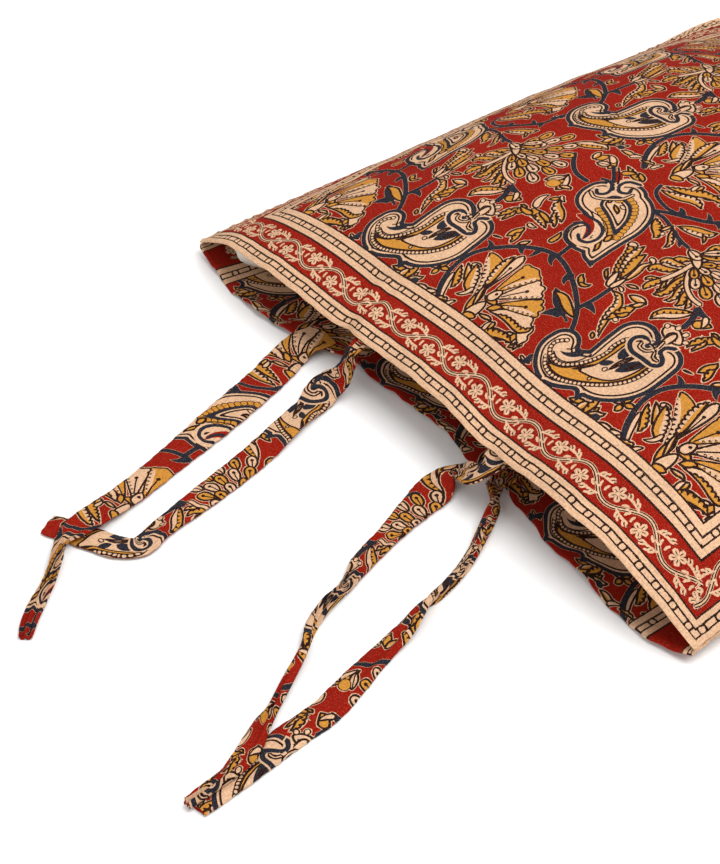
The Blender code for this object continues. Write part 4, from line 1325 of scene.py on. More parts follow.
@dataclass(frozen=True)
class PrintedCotton:
    """Fine plain cotton with a hand-blocked print.

    Attributes:
        name: The material's name.
        sides: The sides that carry the border.
        thread: Pitch of the weave, in millimetres.
        spread: How far the ink strays at an edge, in millimetres.
        roughness: Mean roughness.
        dye: How much broad clouds change the tone.
        specks: How much fine specks do.
        slubs: How much thick threads do.
        weave: How much the crossing threads do.
        wear: Share of the ink that is gone where it is worn.
    """

    name: str
    sides: tuple[Side, ...] = ()
    thread: float = 0.55
    spread: float = 0.34
    roughness: float = 0.9
    dye: float = 0.34
    specks: float = 1.1
    slubs: float = 0.5
    weave: float = 0.08
    wear: float = 0.16

    def build(self) -> bpy.types.Material:
        """Makes the material: the rims, the marks over them, the border, and then the cloth.

        Returns:
            The material.
        """
        nodes = PrintNodes(self.name, self.spread)
        ink: Value | float = float(Ink.RED)
        for layer in range(PrintBlock.LAYERS):
            ink = nodes.rim(ink, layer)
        for layer in range(PrintBlock.LAYERS):
            ink = nodes.painted(ink, layer)
        if self.sides:
            ink = nodes.bordered(ink, Side.MOUTH in self.sides)
        return self.dress(nodes, ink)

    def dress(self, nodes: PrintNodes, ink: Value) -> bpy.types.Material:
        """Turns ink numbers into colour, and adds weave, uneven dye, wear and roughness.

        Args:
            nodes: The material's nodes.
            ink: Ink number.

        Returns:
            The material.
        """
        cloth, turn = nodes.cloth, 2 * math.pi / self.thread
        stops = [(float(kind) / INKS, INK_COLOURS[kind]) for kind in Ink]
        colour = nodes.node("ShaderNodeValToRGB", {"stops": stops}, {0: (ink + 0.5) / INKS})
        cloud, speck = nodes.noise(cloth, 0.035, 3.0), nodes.noise(cloth, 0.9, 3.0)
        warp, weft = (nodes.u * turn).wave(), (nodes.v * turn).wave()
        slub = nodes.noise(nodes.joined(nodes.u * 0.12, nodes.v * 2.4), 1.0, 2.0)
        worn = ((nodes.noise(cloth, 1.9, 1.0) - 0.56) * 6.0).clamped(0.0, 1.0) * self.wear
        colour = nodes.blended("MIX", worn, colour, (*INK_COLOURS[Ink.BEIGE], 1.0))
        tone = (cloud - 0.5) * self.dye + (speck - 0.5) * self.specks + (warp * weft) * self.weave
        tone = tone + (slub - 0.5) * self.slubs + 1.0
        height = warp * 0.5 + weft * 0.5 + (slub - 0.5) * 1.4
        return nodes.finished(0.05, Base_Color=nodes.toned(colour, tone),
                              Roughness=(speck - 0.5) * 0.16 + self.roughness,
                              Normal=nodes.bump(height, 0.5, 0.00016))


@dataclass(frozen=True)
class PlainCotton:
    """Undyed cotton of the pad, a little soiled and creased, its off-white darkened as painted shade for the
    shade inside the mouth.
    """

    name: str = "pad_cotton"
    # Off-white darkened as painted shade, standing in for the shade the pad lies in inside the mouth.
    colour: tuple[float, float, float] = (0.70, 0.64, 0.56)

    def build(self) -> bpy.types.Material:
        """Makes the material.

        Returns:
            The material.
        """
        nodes = NodeFinish(self.name)
        place = nodes.node("ShaderNodeTexCoord", out="Object")
        x, y, _ = nodes.split(place)
        cloud, fine = nodes.noise(place, 40.0, 3.0), nodes.noise(place, 900.0, 2.0)
        weave = (x * 6500.0).wave() * 0.5 + (y * 6500.0).wave() * 0.5
        tone = (cloud - 0.5) * 0.2 + (fine - 0.5) * 0.2 + 1.0
        return nodes.finished(0.2, Base_Color=nodes.toned((*self.colour, 1.0), tone),
                              Roughness=(fine - 0.5) * 0.1 + 0.92, Normal=nodes.bump(weave, 0.4, 0.0002))


@dataclass(frozen=True)
class PaleFloor:
    """A plain pale studio floor."""

    name: str = "pale_floor"

    def build(self) -> bpy.types.Material:
        """Makes the material.

        Returns:
            The material.
        """
        nodes = NodeFinish(self.name)
        place = nodes.node("ShaderNodeTexCoord", out="Object")
        tone = (nodes.noise(place, 3.0, 2.0) - 0.5) * 0.01 + 0.93
        return nodes.finished(0.1, Base_Color=nodes.joined(tone, tone, tone * 0.995), Roughness=0.9)


class HemStation(NamedTuple):
    """The mouth at one place along it: both hems against the corners, in metres."""

    along: float
    front_out: float
    front_lift: float
    back_y: float
    back_lift: float


MOUTH = tuple(HemStation(*row) for row in (
    (0.0, -0.003, 0.0, -0.187, 0.0),
    (0.03, 0.0, 0.0145, -0.191, 0.001),
    (0.08, 0.0022, 0.024, -0.1935, 0.003),
    (0.14, 0.0008, 0.024, -0.181, 0.0038),
    (0.2, -0.0013, 0.026, -0.1765, 0.0026),
    (0.26, 0.0025, 0.0255, -0.181, 0.0014),
    (0.32, 0.005, 0.0295, -0.1895, 0.0022),
    (0.37, 0.003, 0.019, -0.1925, 0.0012),
    (0.4, -0.0032, 0.0, -0.187, 0.0),
))
# Places along the mouth, and how far the pad's edge lies in from it there.
PAD_EDGE = (
    (0.0, 0.036), (0.02, 0.015), (0.034, 0.01), (0.046, 0.018), (0.062, 0.036), (0.09, 0.052),
    (0.2, 0.056), (0.34, 0.052), (0.4, 0.04),
)


def smooth(at: Array, stations: Array, values: Array) -> Array:
    """Values between stations on a smooth curve: a cubic in each stretch, with mean slopes.

    Args:
        at: Where to read.
        stations: Places of the known values, rising.
        values: The known values.

    Returns:
        The values there.
    """
    widths = np.diff(stations)
    slopes = np.diff(values) / widths
    tangents = np.concatenate([slopes[:1], (slopes[:-1] + slopes[1:]) / 2, slopes[-1:]])
    cell = np.clip(np.searchsorted(stations, at, side="right") - 1, 0, len(widths) - 1)
    t = (at - stations[cell]) / widths[cell]
    start = (1 + 2 * t) * (1 - t) ** 2 * values[cell]
    end = t ** 2 * (3 - 2 * t) * values[cell + 1]
    leave = t * (1 - t) ** 2 * widths[cell] * tangents[cell]
    arrive = t ** 2 * (t - 1) * widths[cell] * tangents[cell + 1]
    return start + end + leave + arrive


def normals_of(sheet: Array) -> Array:
    """Upward unit normals of a grid of points: the cross of its two directions."""
    normal = np.cross(np.gradient(sheet, axis=0), np.gradient(sheet, axis=1))
    return normal / np.linalg.norm(normal, axis=-1, keepdims=True)


@dataclass(frozen=True)
class Crease:
    """A soft ridge or trough along a line of the flat cloth, in metres.

    Attributes:
        start: Where it begins.
        end: Where it ends.
        height: Its rise; a trough is negative.
        width: How far from its line it falls to a third.
    """

    start: tuple[float, float]
    end: tuple[float, float]
    height: float
    width: float

    def rise(self, along: Array, deep: Array) -> Array:
        """Height over the cloth: a bell across the line, faded towards both its ends.

        Args:
            along: Flat distances from the left side.
            deep: Flat distances from the mouth.

        Returns:
            The heights.
        """
        (x0, y0), (x1, y1) = self.start, self.end
        run, fall = x1 - x0, y1 - y0
        length = math.hypot(run, fall)
        t = ((along - x0) * run + (deep - y0) * fall) / length ** 2
        off = ((along - x0) * fall - (deep - y0) * run) / length
        held = np.clip(t, 0, 1)
        past = (t - held) * length
        fade = np.sin(math.pi * np.clip(0.12 + 0.88 * held, 0, 1)) ** 0.7
        return self.height * fade * np.exp(-(off ** 2 + past ** 2) / self.width ** 2)


@dataclass(frozen=True)
class CoverShape:
    """The filled cover: middle surfaces of its two panels, as the frame's solids have them.

    The front panel keeps its flat length while it rises, so it draws its sides in; the back panel is
    sewn to the front's outline and lies flat between.
    """

    cells: int = 290
    sheet: float = 0.0012
    gap: float = 0.0003
    crown: float = 0.061
    seam_slope: float = math.radians(75.4)
    slope_power_x: float = 2.35
    slope_power_y: float = 2.84
    mouth_power: float = 2.0
    crest_shift: float = 0.17
    corner_reach: float = 0.08
    corner_soft: tuple[float, float] = (-0.14, 0.17)
    seam_rise: float = 0.0114
    seam_heights: tuple[tuple[float, float], tuple[float, float]] = ((0.0088, 0.0196), (0.0094, 0.0136))
    mouth_setback: float = 0.010
    far_ease: float = 0.013
    tuck: float = 0.008
    under_reach: float = 0.045
    under_power: float = 2.2

    def grid(self) -> tuple[Array, Array]:
        """Flat distances from the left side and from the mouth."""
        steps = np.linspace(0, CLOTH, self.cells + 1)
        return tuple(np.meshgrid(steps, steps, indexing="ij"))

    def hem(self, along: Array, name: str) -> Array:
        """One column of the mouth's table, read along the mouth."""
        stations = np.array([row.along for row in MOUTH])
        return smooth(along, stations, np.array([getattr(row, name) for row in MOUTH]))

    def crown_share(self, from_middle: Array, power: float) -> Array:
        """Share of the full rise, from 1 in the middle (0) to 0 at the seam (1).

        The cloth's slope angle grows as a power of the distance from the middle, and the rise is its sum.

        Args:
            from_middle: Distance from the middle, as a share.
            power: That power.

        Returns:
            The share.
        """
        fine = np.linspace(0, 1, 401)
        slope = np.sin(self.seam_slope * fine ** power)
        fall = np.concatenate([[0], np.cumsum((slope[1:] + slope[:-1]) / 2)])
        return 1 - np.interp(from_middle, fine, fall / fall[-1])

    def front_heights(self, along: Array, deep: Array) -> Array:
        """Height of the front panel: its seams, the lifted mouth and the crown between them.

        Args:
            along: Flat distances from the left side.
            deep: Flat distances from the mouth.

        Returns:
            The heights.
        """
        u, v = along / CLOTH, deep / CLOTH
        (left_mouth, left_far), (right_mouth, right_far) = self.seam_heights
        seams = (1 - u) * ((1 - v) * left_mouth + v * left_far) + u * ((1 - v) * right_mouth + v * right_far)
        seams = seams + self.seam_rise * 4 * v * (1 - v)
        lift = self.hem(along[:, 0], "front_lift")[:, None]
        across = self.crown_share(np.abs(2 * (u - self.crest_shift * u * (1 - u)) - 1), self.slope_power_x)
        left = np.exp(-(along ** 2 + deep ** 2) / self.corner_reach ** 2)
        right = np.exp(-((CLOTH - along) ** 2 + deep ** 2) / self.corner_reach ** 2)
        soft_left, soft_right = self.corner_soft
        crown = self.crown * across * (1 - soft_left * left) * (1 - soft_right * right)
        near_half = lift + (crown - lift) * (1 - np.clip(1 - 2 * v, 0, 1) ** self.mouth_power)
        far_half = crown * self.crown_share(np.abs(2 * v - 1), self.slope_power_y)
        return seams + np.where(v < 0.5, near_half, far_half)

    def drawn_in(self, heights: Array, axis: int) -> Array:
        """Distance covered in plan by cloth that keeps its length while it rises and falls."""
        step = CLOTH / self.cells
        rise = np.diff(heights, axis=axis)
        run = np.sqrt(np.clip(step ** 2 - rise ** 2, (0.15 * step) ** 2, None))
        start = np.zeros_like(np.take(run, [0], axis=axis))
        return np.concatenate([start, np.cumsum(run, axis=axis)], axis=axis)

    def front(self) -> Array:
        """Middle surface of the front panel on the grid."""
        along, deep = self.grid()
        z = self.front_heights(along, deep)
        x = self.drawn_in(z, 0)
        x = x - x[-1:] / 2
        out = self.hem(along[:, 0], "front_out")[:, None]
        u, v = along / CLOTH, deep / CLOTH
        far = np.clip(2 * v - 1, 0, 1)
        ease = self.far_ease * 4 * u * (1 - u) * far ** 2 * (3 - 2 * far)
        y = self.drawn_in(z, 1) - CLOTH / 2 + self.mouth_setback - out * (1 - v) ** 3 + ease
        return np.stack([x, y, z], axis=-1)

    def tucked(self, distance: Array | float) -> Array | float:
        """Distance in plan from a seam of cloth that first turns down and then runs under."""
        return np.sqrt(distance ** 2 + self.tuck ** 2) - self.tuck

    def tucked_share(self, along: Array, far_only: bool = False) -> Array:
        """Place in plan between two sides, from 0 to 1, of cloth tucked under at both or at the far one."""
        half = CLOTH / 2
        far = 1 - 0.5 * self.tucked(CLOTH - along) / self.tucked(half)
        near = 0.5 * along / half if far_only else 0.5 * self.tucked(along) / self.tucked(half)
        return np.where(along < half, near, far)

    def back(self, front: Array) -> Array:
        """Middle surface of the back panel: sewn to the front's outline, flat on the floor between.

        Args:
            front: Middle surface of the front panel.

        Returns:
            The back panel's grid of points.
        """
        along, deep = self.grid()
        left, right, far = front[0], front[-1], front[:, -1]
        mouth_y = self.hem(along[:, 0], "back_y")
        mouth_y[0], mouth_y[-1] = left[0, 1], right[0, 1]
        p = self.tucked_share(along)[..., None]
        q = self.tucked_share(deep, far_only=True)[..., None]
        mouth_x = left[0, 0] + (right[0, 0] - left[0, 0]) * self.tucked_share(along[:, 0])
        mouth = np.stack([mouth_x, mouth_y], axis=-1)
        sides = (1 - p) * left[None, :, :2] + p * right[None, :, :2]
        ends = (1 - q) * mouth[:, None] + q * far[:, None, :2]
        corners = ((1 - p) * (1 - q) * mouth[0] + p * (1 - q) * mouth[-1]
                   + (1 - p) * q * far[0, :2] + p * q * far[-1, :2])
        plan = sides + ends - corners
        flat_height = self.sheet / 2
        lift = self.hem(along[:, 0], "back_lift")[:, None]
        side_fall = np.clip(1 - np.minimum(along, CLOTH - along) / self.under_reach, 0, 1) ** self.under_power
        far_fall = np.clip(1 - (CLOTH - deep) / self.under_reach, 0, 1) ** self.under_power
        mouth_fall = np.clip(1 - deep / self.under_reach, 0, 1) ** 2
        held = 1 - (1 - side_fall) * (1 - far_fall)
        side_seam = np.where(along < CLOTH / 2, left[None, :, 2], right[None, :, 2])
        seam = np.where(far_fall > side_fall, far[:, None, 2], side_seam) - self.sheet - self.gap
        z = flat_height + (seam - flat_height) * held + lift * mouth_fall * (1 - held)
        return np.concatenate([plan, z[..., None]], axis=-1)

    def read(self, sheet: Array, along: Array, deep: Array) -> Array:
        """Points of a sheet at flat distances along and deep, between the grid's points.

        Args:
            sheet: Points on the grid.
            along: Distances from the left side.
            deep: Distances from the mouth.

        Returns:
            The points.
        """
        i = np.clip(along / CLOTH * self.cells, 0, self.cells - 0.00001)
        j = np.clip(deep / CLOTH * self.cells, 0, self.cells - 0.00001)
        low_i, low_j = i.astype(int), j.astype(int)
        s, t = (i - low_i)[..., None], (j - low_j)[..., None]
        near = sheet[low_i, low_j] * (1 - s) + sheet[low_i + 1, low_j] * s
        far = sheet[low_i, low_j + 1] * (1 - s) + sheet[low_i + 1, low_j + 1] * s
        return near * (1 - t) + far * t


COVER = CoverShape()


def undulation(along: Array, deep: Array, height: float, seed: int) -> Array:
    """Soft uneven swell of cloth: a sum of sines of many directions and lengths.

    Args:
        along: Flat distances from the left side.
        deep: Flat distances from the mouth.
        height: How high it swells.
        seed: Seed of the directions.

    Returns:
        The heights.
    """
    draw = np.random.default_rng(seed)
    total = np.zeros_like(along)
    for length in (0.150, 0.110, 0.080, 0.062, 0.048, 0.036, 0.028):
        angle, phase = draw.uniform(0, math.pi), draw.uniform(0, 2 * math.pi)
        total += (length / 0.1) ** 0.8 * np.sin(
            2 * math.pi * (along * math.cos(angle) + deep * math.sin(angle)) / length + phase)
    return height * total / 2


@dataclass
class Mesh:
    """Arrays of a mesh before it is made: points, four-sided faces, and other faces after them.

    Attributes:
        points: Place of each vertex.
        flat: Flat cloth coordinates of each vertex, in millimetres.
        quads: Vertex numbers of the four-sided faces.
        others: Vertex numbers of any other faces.
    """

    points: Array
    flat: Array
    quads: Array
    others: list[list[int]]

    def make(self, name: str, finish: bpy.types.Material, block: PrintBlock | None) -> bpy.types.Object:
        """Makes the object, with its cloth coordinates and printed marks.

        Args:
            name: The piece's name.
            finish: Its material.
            block: Its printed marks, if it has any.

        Returns:
            The object.
        """
        mesh = bpy.data.meshes.new(name)
        mesh.from_pydata(self.points.tolist(), [], self.quads.tolist() + self.others)
        corner = np.empty(len(mesh.loops), dtype=np.int32)
        mesh.loops.foreach_get("vertex_index", corner)
        place = np.concatenate([self.flat[corner], np.zeros((len(corner), 1))], axis=1)
        put_vectors(mesh, "cloth", "CORNER", place)
        if block is not None:
            block.write(mesh)
        mesh.shade_smooth()
        mesh.set_sharp_from_angle(angle=math.radians(60))
        mesh.materials.append(finish)
        piece = bpy.data.objects.new(name, mesh)
        bpy.context.scene.collection.objects.link(piece)
        return piece


def grid_quads(start: int, columns: int, rows: int) -> Array:
    """Faces of a grid of points numbered row after row within each column, facing up."""
    number = start + np.arange(columns * rows).reshape(columns, rows)
    corners = (number[:-1, :-1], number[1:, :-1], number[1:, 1:], number[:-1, 1:])
    return np.stack(corners, axis=-1).reshape(-1, 4)


def closed_sheet(top: Array, foot: Array, flat: Array, top_rows: Array,
                 foot_rows: Array) -> Mesh:
    """Joins two layers of cloth along their four edges into one closed sheet.

    Args:
        top: Upper layer's points on the full grid.
        foot: Lower layer's points on it.
        flat: Flat coordinates on it, in millimetres.
        top_rows: Which rows of the grid the upper layer keeps.
        foot_rows: Which rows the lower layer keeps.

    Returns:
        The mesh, with the denser layer's faces first.
    """
    columns = len(top)
    upper, lower = top[:, top_rows], foot[:, foot_rows]
    count = upper.shape[0] * upper.shape[1]
    up = np.arange(count).reshape(columns, -1)
    low = count + np.arange(lower.shape[0] * lower.shape[1]).reshape(columns, -1)
    quads = [grid_quads(0, columns, len(top_rows)), grid_quads(count, columns, len(foot_rows))[:, ::-1]]
    mouth = np.stack([low[:-1, 0], low[1:, 0], up[1:, 0], up[:-1, 0]], axis=-1)
    far = np.stack([up[:-1, -1], up[1:, -1], low[1:, -1], low[:-1, -1]], axis=-1)
    quads += [mouth, far]
    cuts = np.intersect1d(top_rows, foot_rows)
    others: list[list[int]] = []
    for start, end in zip(cuts[:-1], cuts[1:]):
        above = (top_rows >= start) & (top_rows <= end)
        below = (foot_rows >= start) & (foot_rows <= end)
        others.append(low[0][below][::-1].tolist() + up[0][above].tolist())
        others.append(up[-1][above][::-1].tolist() + low[-1][below].tolist())
    points = np.concatenate([upper.reshape(-1, 3), lower.reshape(-1, 3)])
    both = np.concatenate([flat[:, top_rows].reshape(-1, 2), flat[:, foot_rows].reshape(-1, 2)])
    return Mesh(points, both, np.concatenate(quads), others)


# Each row of a tie: x, y, height of its lower edge over the floor, width, and roll in degrees.
TieRows = tuple[tuple[float, float, float, float, float], ...]
TIE_A: TieRows = (
    (-0.088, -0.2, 0.0008, 0.0205, 0),
    (-0.0795, -0.219, 0.0003, 0.0205, 0),
    (-0.063, -0.2625, 0.0003, 0.019, 4),
    (-0.0525, -0.2955, 0.0003, 0.017, 0),
    (-0.042, -0.327, 0.0012, 0.016, 0),
    (-0.036, -0.347, 0.0034, 0.015, 0),
    (-0.0335, -0.357, 0.0034, 0.0135, 0),
    (-0.0295, -0.3665, 0.0034, 0.0065, 10),
    (-0.0205, -0.375, 0.0024, 0.006, 20),
    (-0.012, -0.3835, 0.0003, 0.006, 30),
    (0.004, -0.402, 0.0003, 0.0075, 0),
    (0.012, -0.4085, 0.0003, 0.006, 0),
)
TIE_B: TieRows = (
    (-0.0435, -0.196, 0.016, 0.0085, 70),
    (-0.0465, -0.1995, 0.0055, 0.0125, 65),
    (-0.05, -0.205, 0.0008, 0.0165, 30),
    (-0.0465, -0.217, 0.0004, 0.016, 0),
    (-0.031, -0.26, 0.0003, 0.016, 0),
    (-0.0195, -0.299, 0.0003, 0.014, 5),
    (-0.013, -0.3245, 0.0003, 0.012, 0),
    (-0.0085, -0.339, 0.0003, 0.013, 0),
    (-0.0135, -0.346, 0.0003, 0.014, 0),
    (-0.025, -0.3525, 0.0003, 0.0145, 0),
    (-0.037, -0.3585, 0.0003, 0.0145, 0),
    (-0.047, -0.3645, 0.0003, 0.0135, 0),
)
TIE_C: TieRows = (
    (0.0595, -0.1985, 0.018, 0.0125, 25),
    (0.049, -0.195, 0.0085, 0.011, 50),
    (0.04, -0.1945, 0.004, 0.008, 30),
    (0.038, -0.201, 0.0008, 0.0185, 0),
    (0.041, -0.21, 0.0003, 0.019, 0),
    (0.045, -0.2225, 0.0003, 0.016, 0),
    (0.0515, -0.2405, 0.0003, 0.012, 0),
    (0.0605, -0.264, 0.0003, 0.01, 8),
    (0.0685, -0.2785, 0.0003, 0.006, 25),
    (0.0745, -0.2955, 0.0003, 0.0065, 50),
    (0.0815, -0.307, 0.0003, 0.006, 85),
    (0.0905, -0.3165, 0.0003, 0.0065, 110),
    (0.1015, -0.333, 0.0003, 0.0055, 135),
    (0.11, -0.346, 0.0014, 0.0055, 165),
    (0.1155, -0.3545, 0.0032, 0.0075, 180),
    (0.126, -0.3705, 0.0032, 0.01, 180),
    (0.131, -0.386, 0.0032, 0.0055, 180),
    (0.1335, -0.403, 0.0032, 0.004, 180),
)
TIE_D: TieRows = (
    (0.061, -0.188, 0.001, 0.0085, 60),
    (0.067, -0.192, 0.0003, 0.01, 70),
    (0.0725, -0.1995, 0.0003, 0.01, 70),
    (0.077, -0.207, 0.0003, 0.0075, 60),
    (0.084, -0.218, 0.0003, 0.0055, 60),
    (0.091, -0.2315, 0.0003, 0.005, 70),
    (0.097, -0.248, 0.0003, 0.006, 90),
    (0.101, -0.261, 0.0003, 0.011, 130),
    (0.106, -0.274, 0.0003, 0.011, 160),
    (0.111, -0.2915, 0.0003, 0.0105, 180),
    (0.118, -0.312, 0.0003, 0.0135, 180),
    (0.1235, -0.3285, 0.0003, 0.0145, 180),
    (0.126, -0.3475, 0.0003, 0.0145, 180),
    (0.1315, -0.38, 0.0003, 0.014, 180),
    (0.1345, -0.4, 0.0003, 0.013, 180),
)


@dataclass(frozen=True)
class Panel:
    """One printed square of the cover.

    Attributes:
        name: The piece's name.
        node: The solid that it stands for.
        slot: Its material slot; not used.
        faces_up: Whether its printed face is its upper one.
        sides: The sides that carry the border.
        shift: Where its field lies against the front panel's, in millimetres.
        creases: Main ridges and troughs.
        swell: Height of its soft unevenness.
        pucker: Height of the small gathers along its seams.
        wave: How far its hem strays.
        tucks: Places along the hem that a tie's stitches draw in, and how far.
        seed: Seed of that unevenness.
        hem_roll: How much thicker the turned hem is, as a share.
        hem_edge: Thickness of its rounded edge, as a share.
        gather: Length of one gather along a seam.
        gather_reach: How far in from the seam the gathers fade.
    """

    name: str
    node: str
    slot: str
    faces_up: bool
    sides: tuple[Side, ...]
    shift: tuple[float, float] = (0.0, 0.0)
    creases: tuple[Crease, ...] = ()
    swell: float = 0.0006
    pucker: float = 0.0007
    wave: float = 0.0003
    tucks: tuple[tuple[float, float], ...] = ()
    seed: int = 3
    hem_roll: float = 0.35
    hem_edge: float = 0.5
    gather: float = 0.0085
    gather_reach: float = 0.009

    def shaped(self, sheet: Array) -> Array:
        """The panel's middle surface with its creases, its soft swell and its gathered seams.

        Args:
            sheet: The plain middle surface.

        Returns:
            The moved surface.
        """
        along, deep = COVER.grid()
        rise = sum((crease.rise(along, deep) for crease in self.creases), np.zeros_like(along))
        inside = np.minimum(np.minimum(along, CLOTH - along), CLOTH - deep)
        rise = rise + undulation(along, deep, self.swell, self.seed) * np.clip(inside / 0.02, 0, 1)
        seam = np.exp(-inside / self.gather_reach) * np.clip(inside / 0.002, 0, 1)
        run = np.where(np.minimum(along, CLOTH - along) < CLOTH - deep, deep, along)
        wander = undulation(along, deep, 0.9, self.seed + 5)
        gathers = np.sin(2 * math.pi * run / self.gather + 2.2 * wander) + 0.6 * np.sin(run * 1331 + wander)
        rise = rise + self.pucker * seam * gathers
        moved = sheet + normals_of(sheet) * rise[..., None]
        moved += self.wavy_hem(along, deep)
        moved[..., 2] = np.maximum(moved[..., 2], COVER.sheet / 2 + 0.0001)
        return moved

    def wavy_hem(self, along: Array, deep: Array) -> Array:
        """How far the hem strays: sines of a few lengths, and a dip at each tuck, both fading inwards.

        Args:
            along: Flat distances from the left side.
            deep: Flat distances from the mouth.

        Returns:
            The shifts, as vectors.
        """
        draw = np.random.default_rng(self.seed + 20)
        ends = np.clip(np.minimum(along, CLOTH - along) / 0.03, 0, 1)
        out, lift = np.zeros_like(along), np.zeros_like(along)
        for length, share in ((0.062, 1.0), (0.037, 0.7), (0.023, 0.5), (0.013, 0.32)):
            for shift in (out, lift):
                shift += share * np.sin(2 * math.pi * along / length + draw.uniform(0, 6.28))
        fade = np.exp(-(deep / 0.018) ** 1.4) * ends
        y, z = out * self.wave * 0.55 * fade, lift * self.wave * fade
        for place, dip in self.tucks:
            bell = np.exp(-((along - place) / 0.0065) ** 2) * np.exp(-deep / 0.011)
            y, z = y + dip * bell, z - 0.6 * dip * bell
        return np.stack([np.zeros_like(y), y, z], axis=-1)

    def make(self, sheet: Array) -> bpy.types.Object:
        """Builds the panel as a closed sheet of cloth and lays its print.

        Args:
            sheet: Its middle surface, already shaped.

        Returns:
            The piece.
        """
        along, deep = COVER.grid()
        flat = np.stack([along, deep], axis=-1) / MM
        turned = 1 + self.hem_roll * np.exp(-(deep / 0.009) ** 2)
        turned[:, 0] *= self.hem_edge
        half = normals_of(sheet) * (COVER.sheet / 2 * turned)[..., None]
        every = np.arange(COVER.cells + 1)
        if self.faces_up:
            top_rows, foot_rows = every, np.union1d(every[:10:2], every[::10])
        else:
            top_rows, foot_rows = np.union1d(every[:58], every[::10]), every[::2]
        foot = sheet - half
        foot[..., 2] = np.maximum(foot[..., 2], 0.0001)
        mesh = closed_sheet(sheet + half, foot, flat, top_rows, foot_rows)
        block = ClothPrint(self.sides, self.shift).lay(mesh.flat, mesh.quads)
        piece = mesh.make(self.name, PrintedCotton(f"{self.name}_cotton", self.sides).build(), block)
        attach(piece, BODY)
        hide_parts(self.node)
        return piece


@dataclass(frozen=True)
class Pad:
    """The filled inner pad, whose top follows the front panel and whose foot follows the back one.

    Attributes:
        inset: How far its edge lies in from the sewn sides.
        clear: Clear space between it and a panel.
        edge: Thickness at its edge, as a share of the space there.
        round_off: How far in it reaches its full thickness.
        cells: Cells along each side.
    """

    inset: float = 0.012
    clear: float = 0.0009
    edge: float = 0.10
    round_off: float = 0.020
    cells: int = 120

    def make(self, front: Array, back: Array) -> bpy.types.Object:
        """Builds the pad as one closed pillow.

        Args:
            front: Middle surface of the front panel.
            back: Middle surface of the back panel.

        Returns:
            The piece.
        """
        share = np.linspace(0, 1, self.cells + 1)
        place = CLOTH * (0.3 * share + 0.7 * (1 - np.cos(np.pi * share)) / 2)
        share_x, share_y = np.meshgrid(place, place, indexing="ij")
        room = (CLOTH - 2 * self.inset) / CLOTH
        along = self.inset + room * share_x
        inset = smooth(along, *np.array(PAD_EDGE).T)
        deep = inset + (CLOTH - self.inset - inset) * share_y / CLOTH
        offset = COVER.sheet / 2 + self.clear
        top = COVER.read(front - normals_of(front) * offset, along, deep)
        foot = COVER.read(back + normals_of(back) * offset, along, deep)
        edge = np.minimum.reduce([along - self.inset, CLOTH - self.inset - along, deep - inset,
                                  CLOTH - self.inset - deep])
        t = np.clip(edge / self.round_off, 0, 1)
        full = (self.edge + (1 - self.edge) * np.sqrt(1 - (1 - t) ** 2))[..., None]
        gathers = 0.0007 * np.sin(along * 620 + 3 * np.sin(deep * 90)) * np.exp(-edge / 0.012)
        gathers = gathers + 0.0006 * np.sin(deep * 560 + 2 * np.sin(along * 70)) * np.exp(-edge / 0.012)
        middle = (top + foot) / 2
        half = full * (top - foot) / 2
        half = half - np.abs(gathers)[..., None] * half / np.linalg.norm(half, axis=-1, keepdims=True)
        rows = np.arange(self.cells + 1)
        flat = np.stack([along, deep], axis=-1) / MM
        mesh = closed_sheet(middle + half, middle - half, flat, rows, rows)
        piece = mesh.make("pad", PlainCotton().build(), None)
        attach(piece, BODY)
        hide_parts("inner_pad")
        return piece


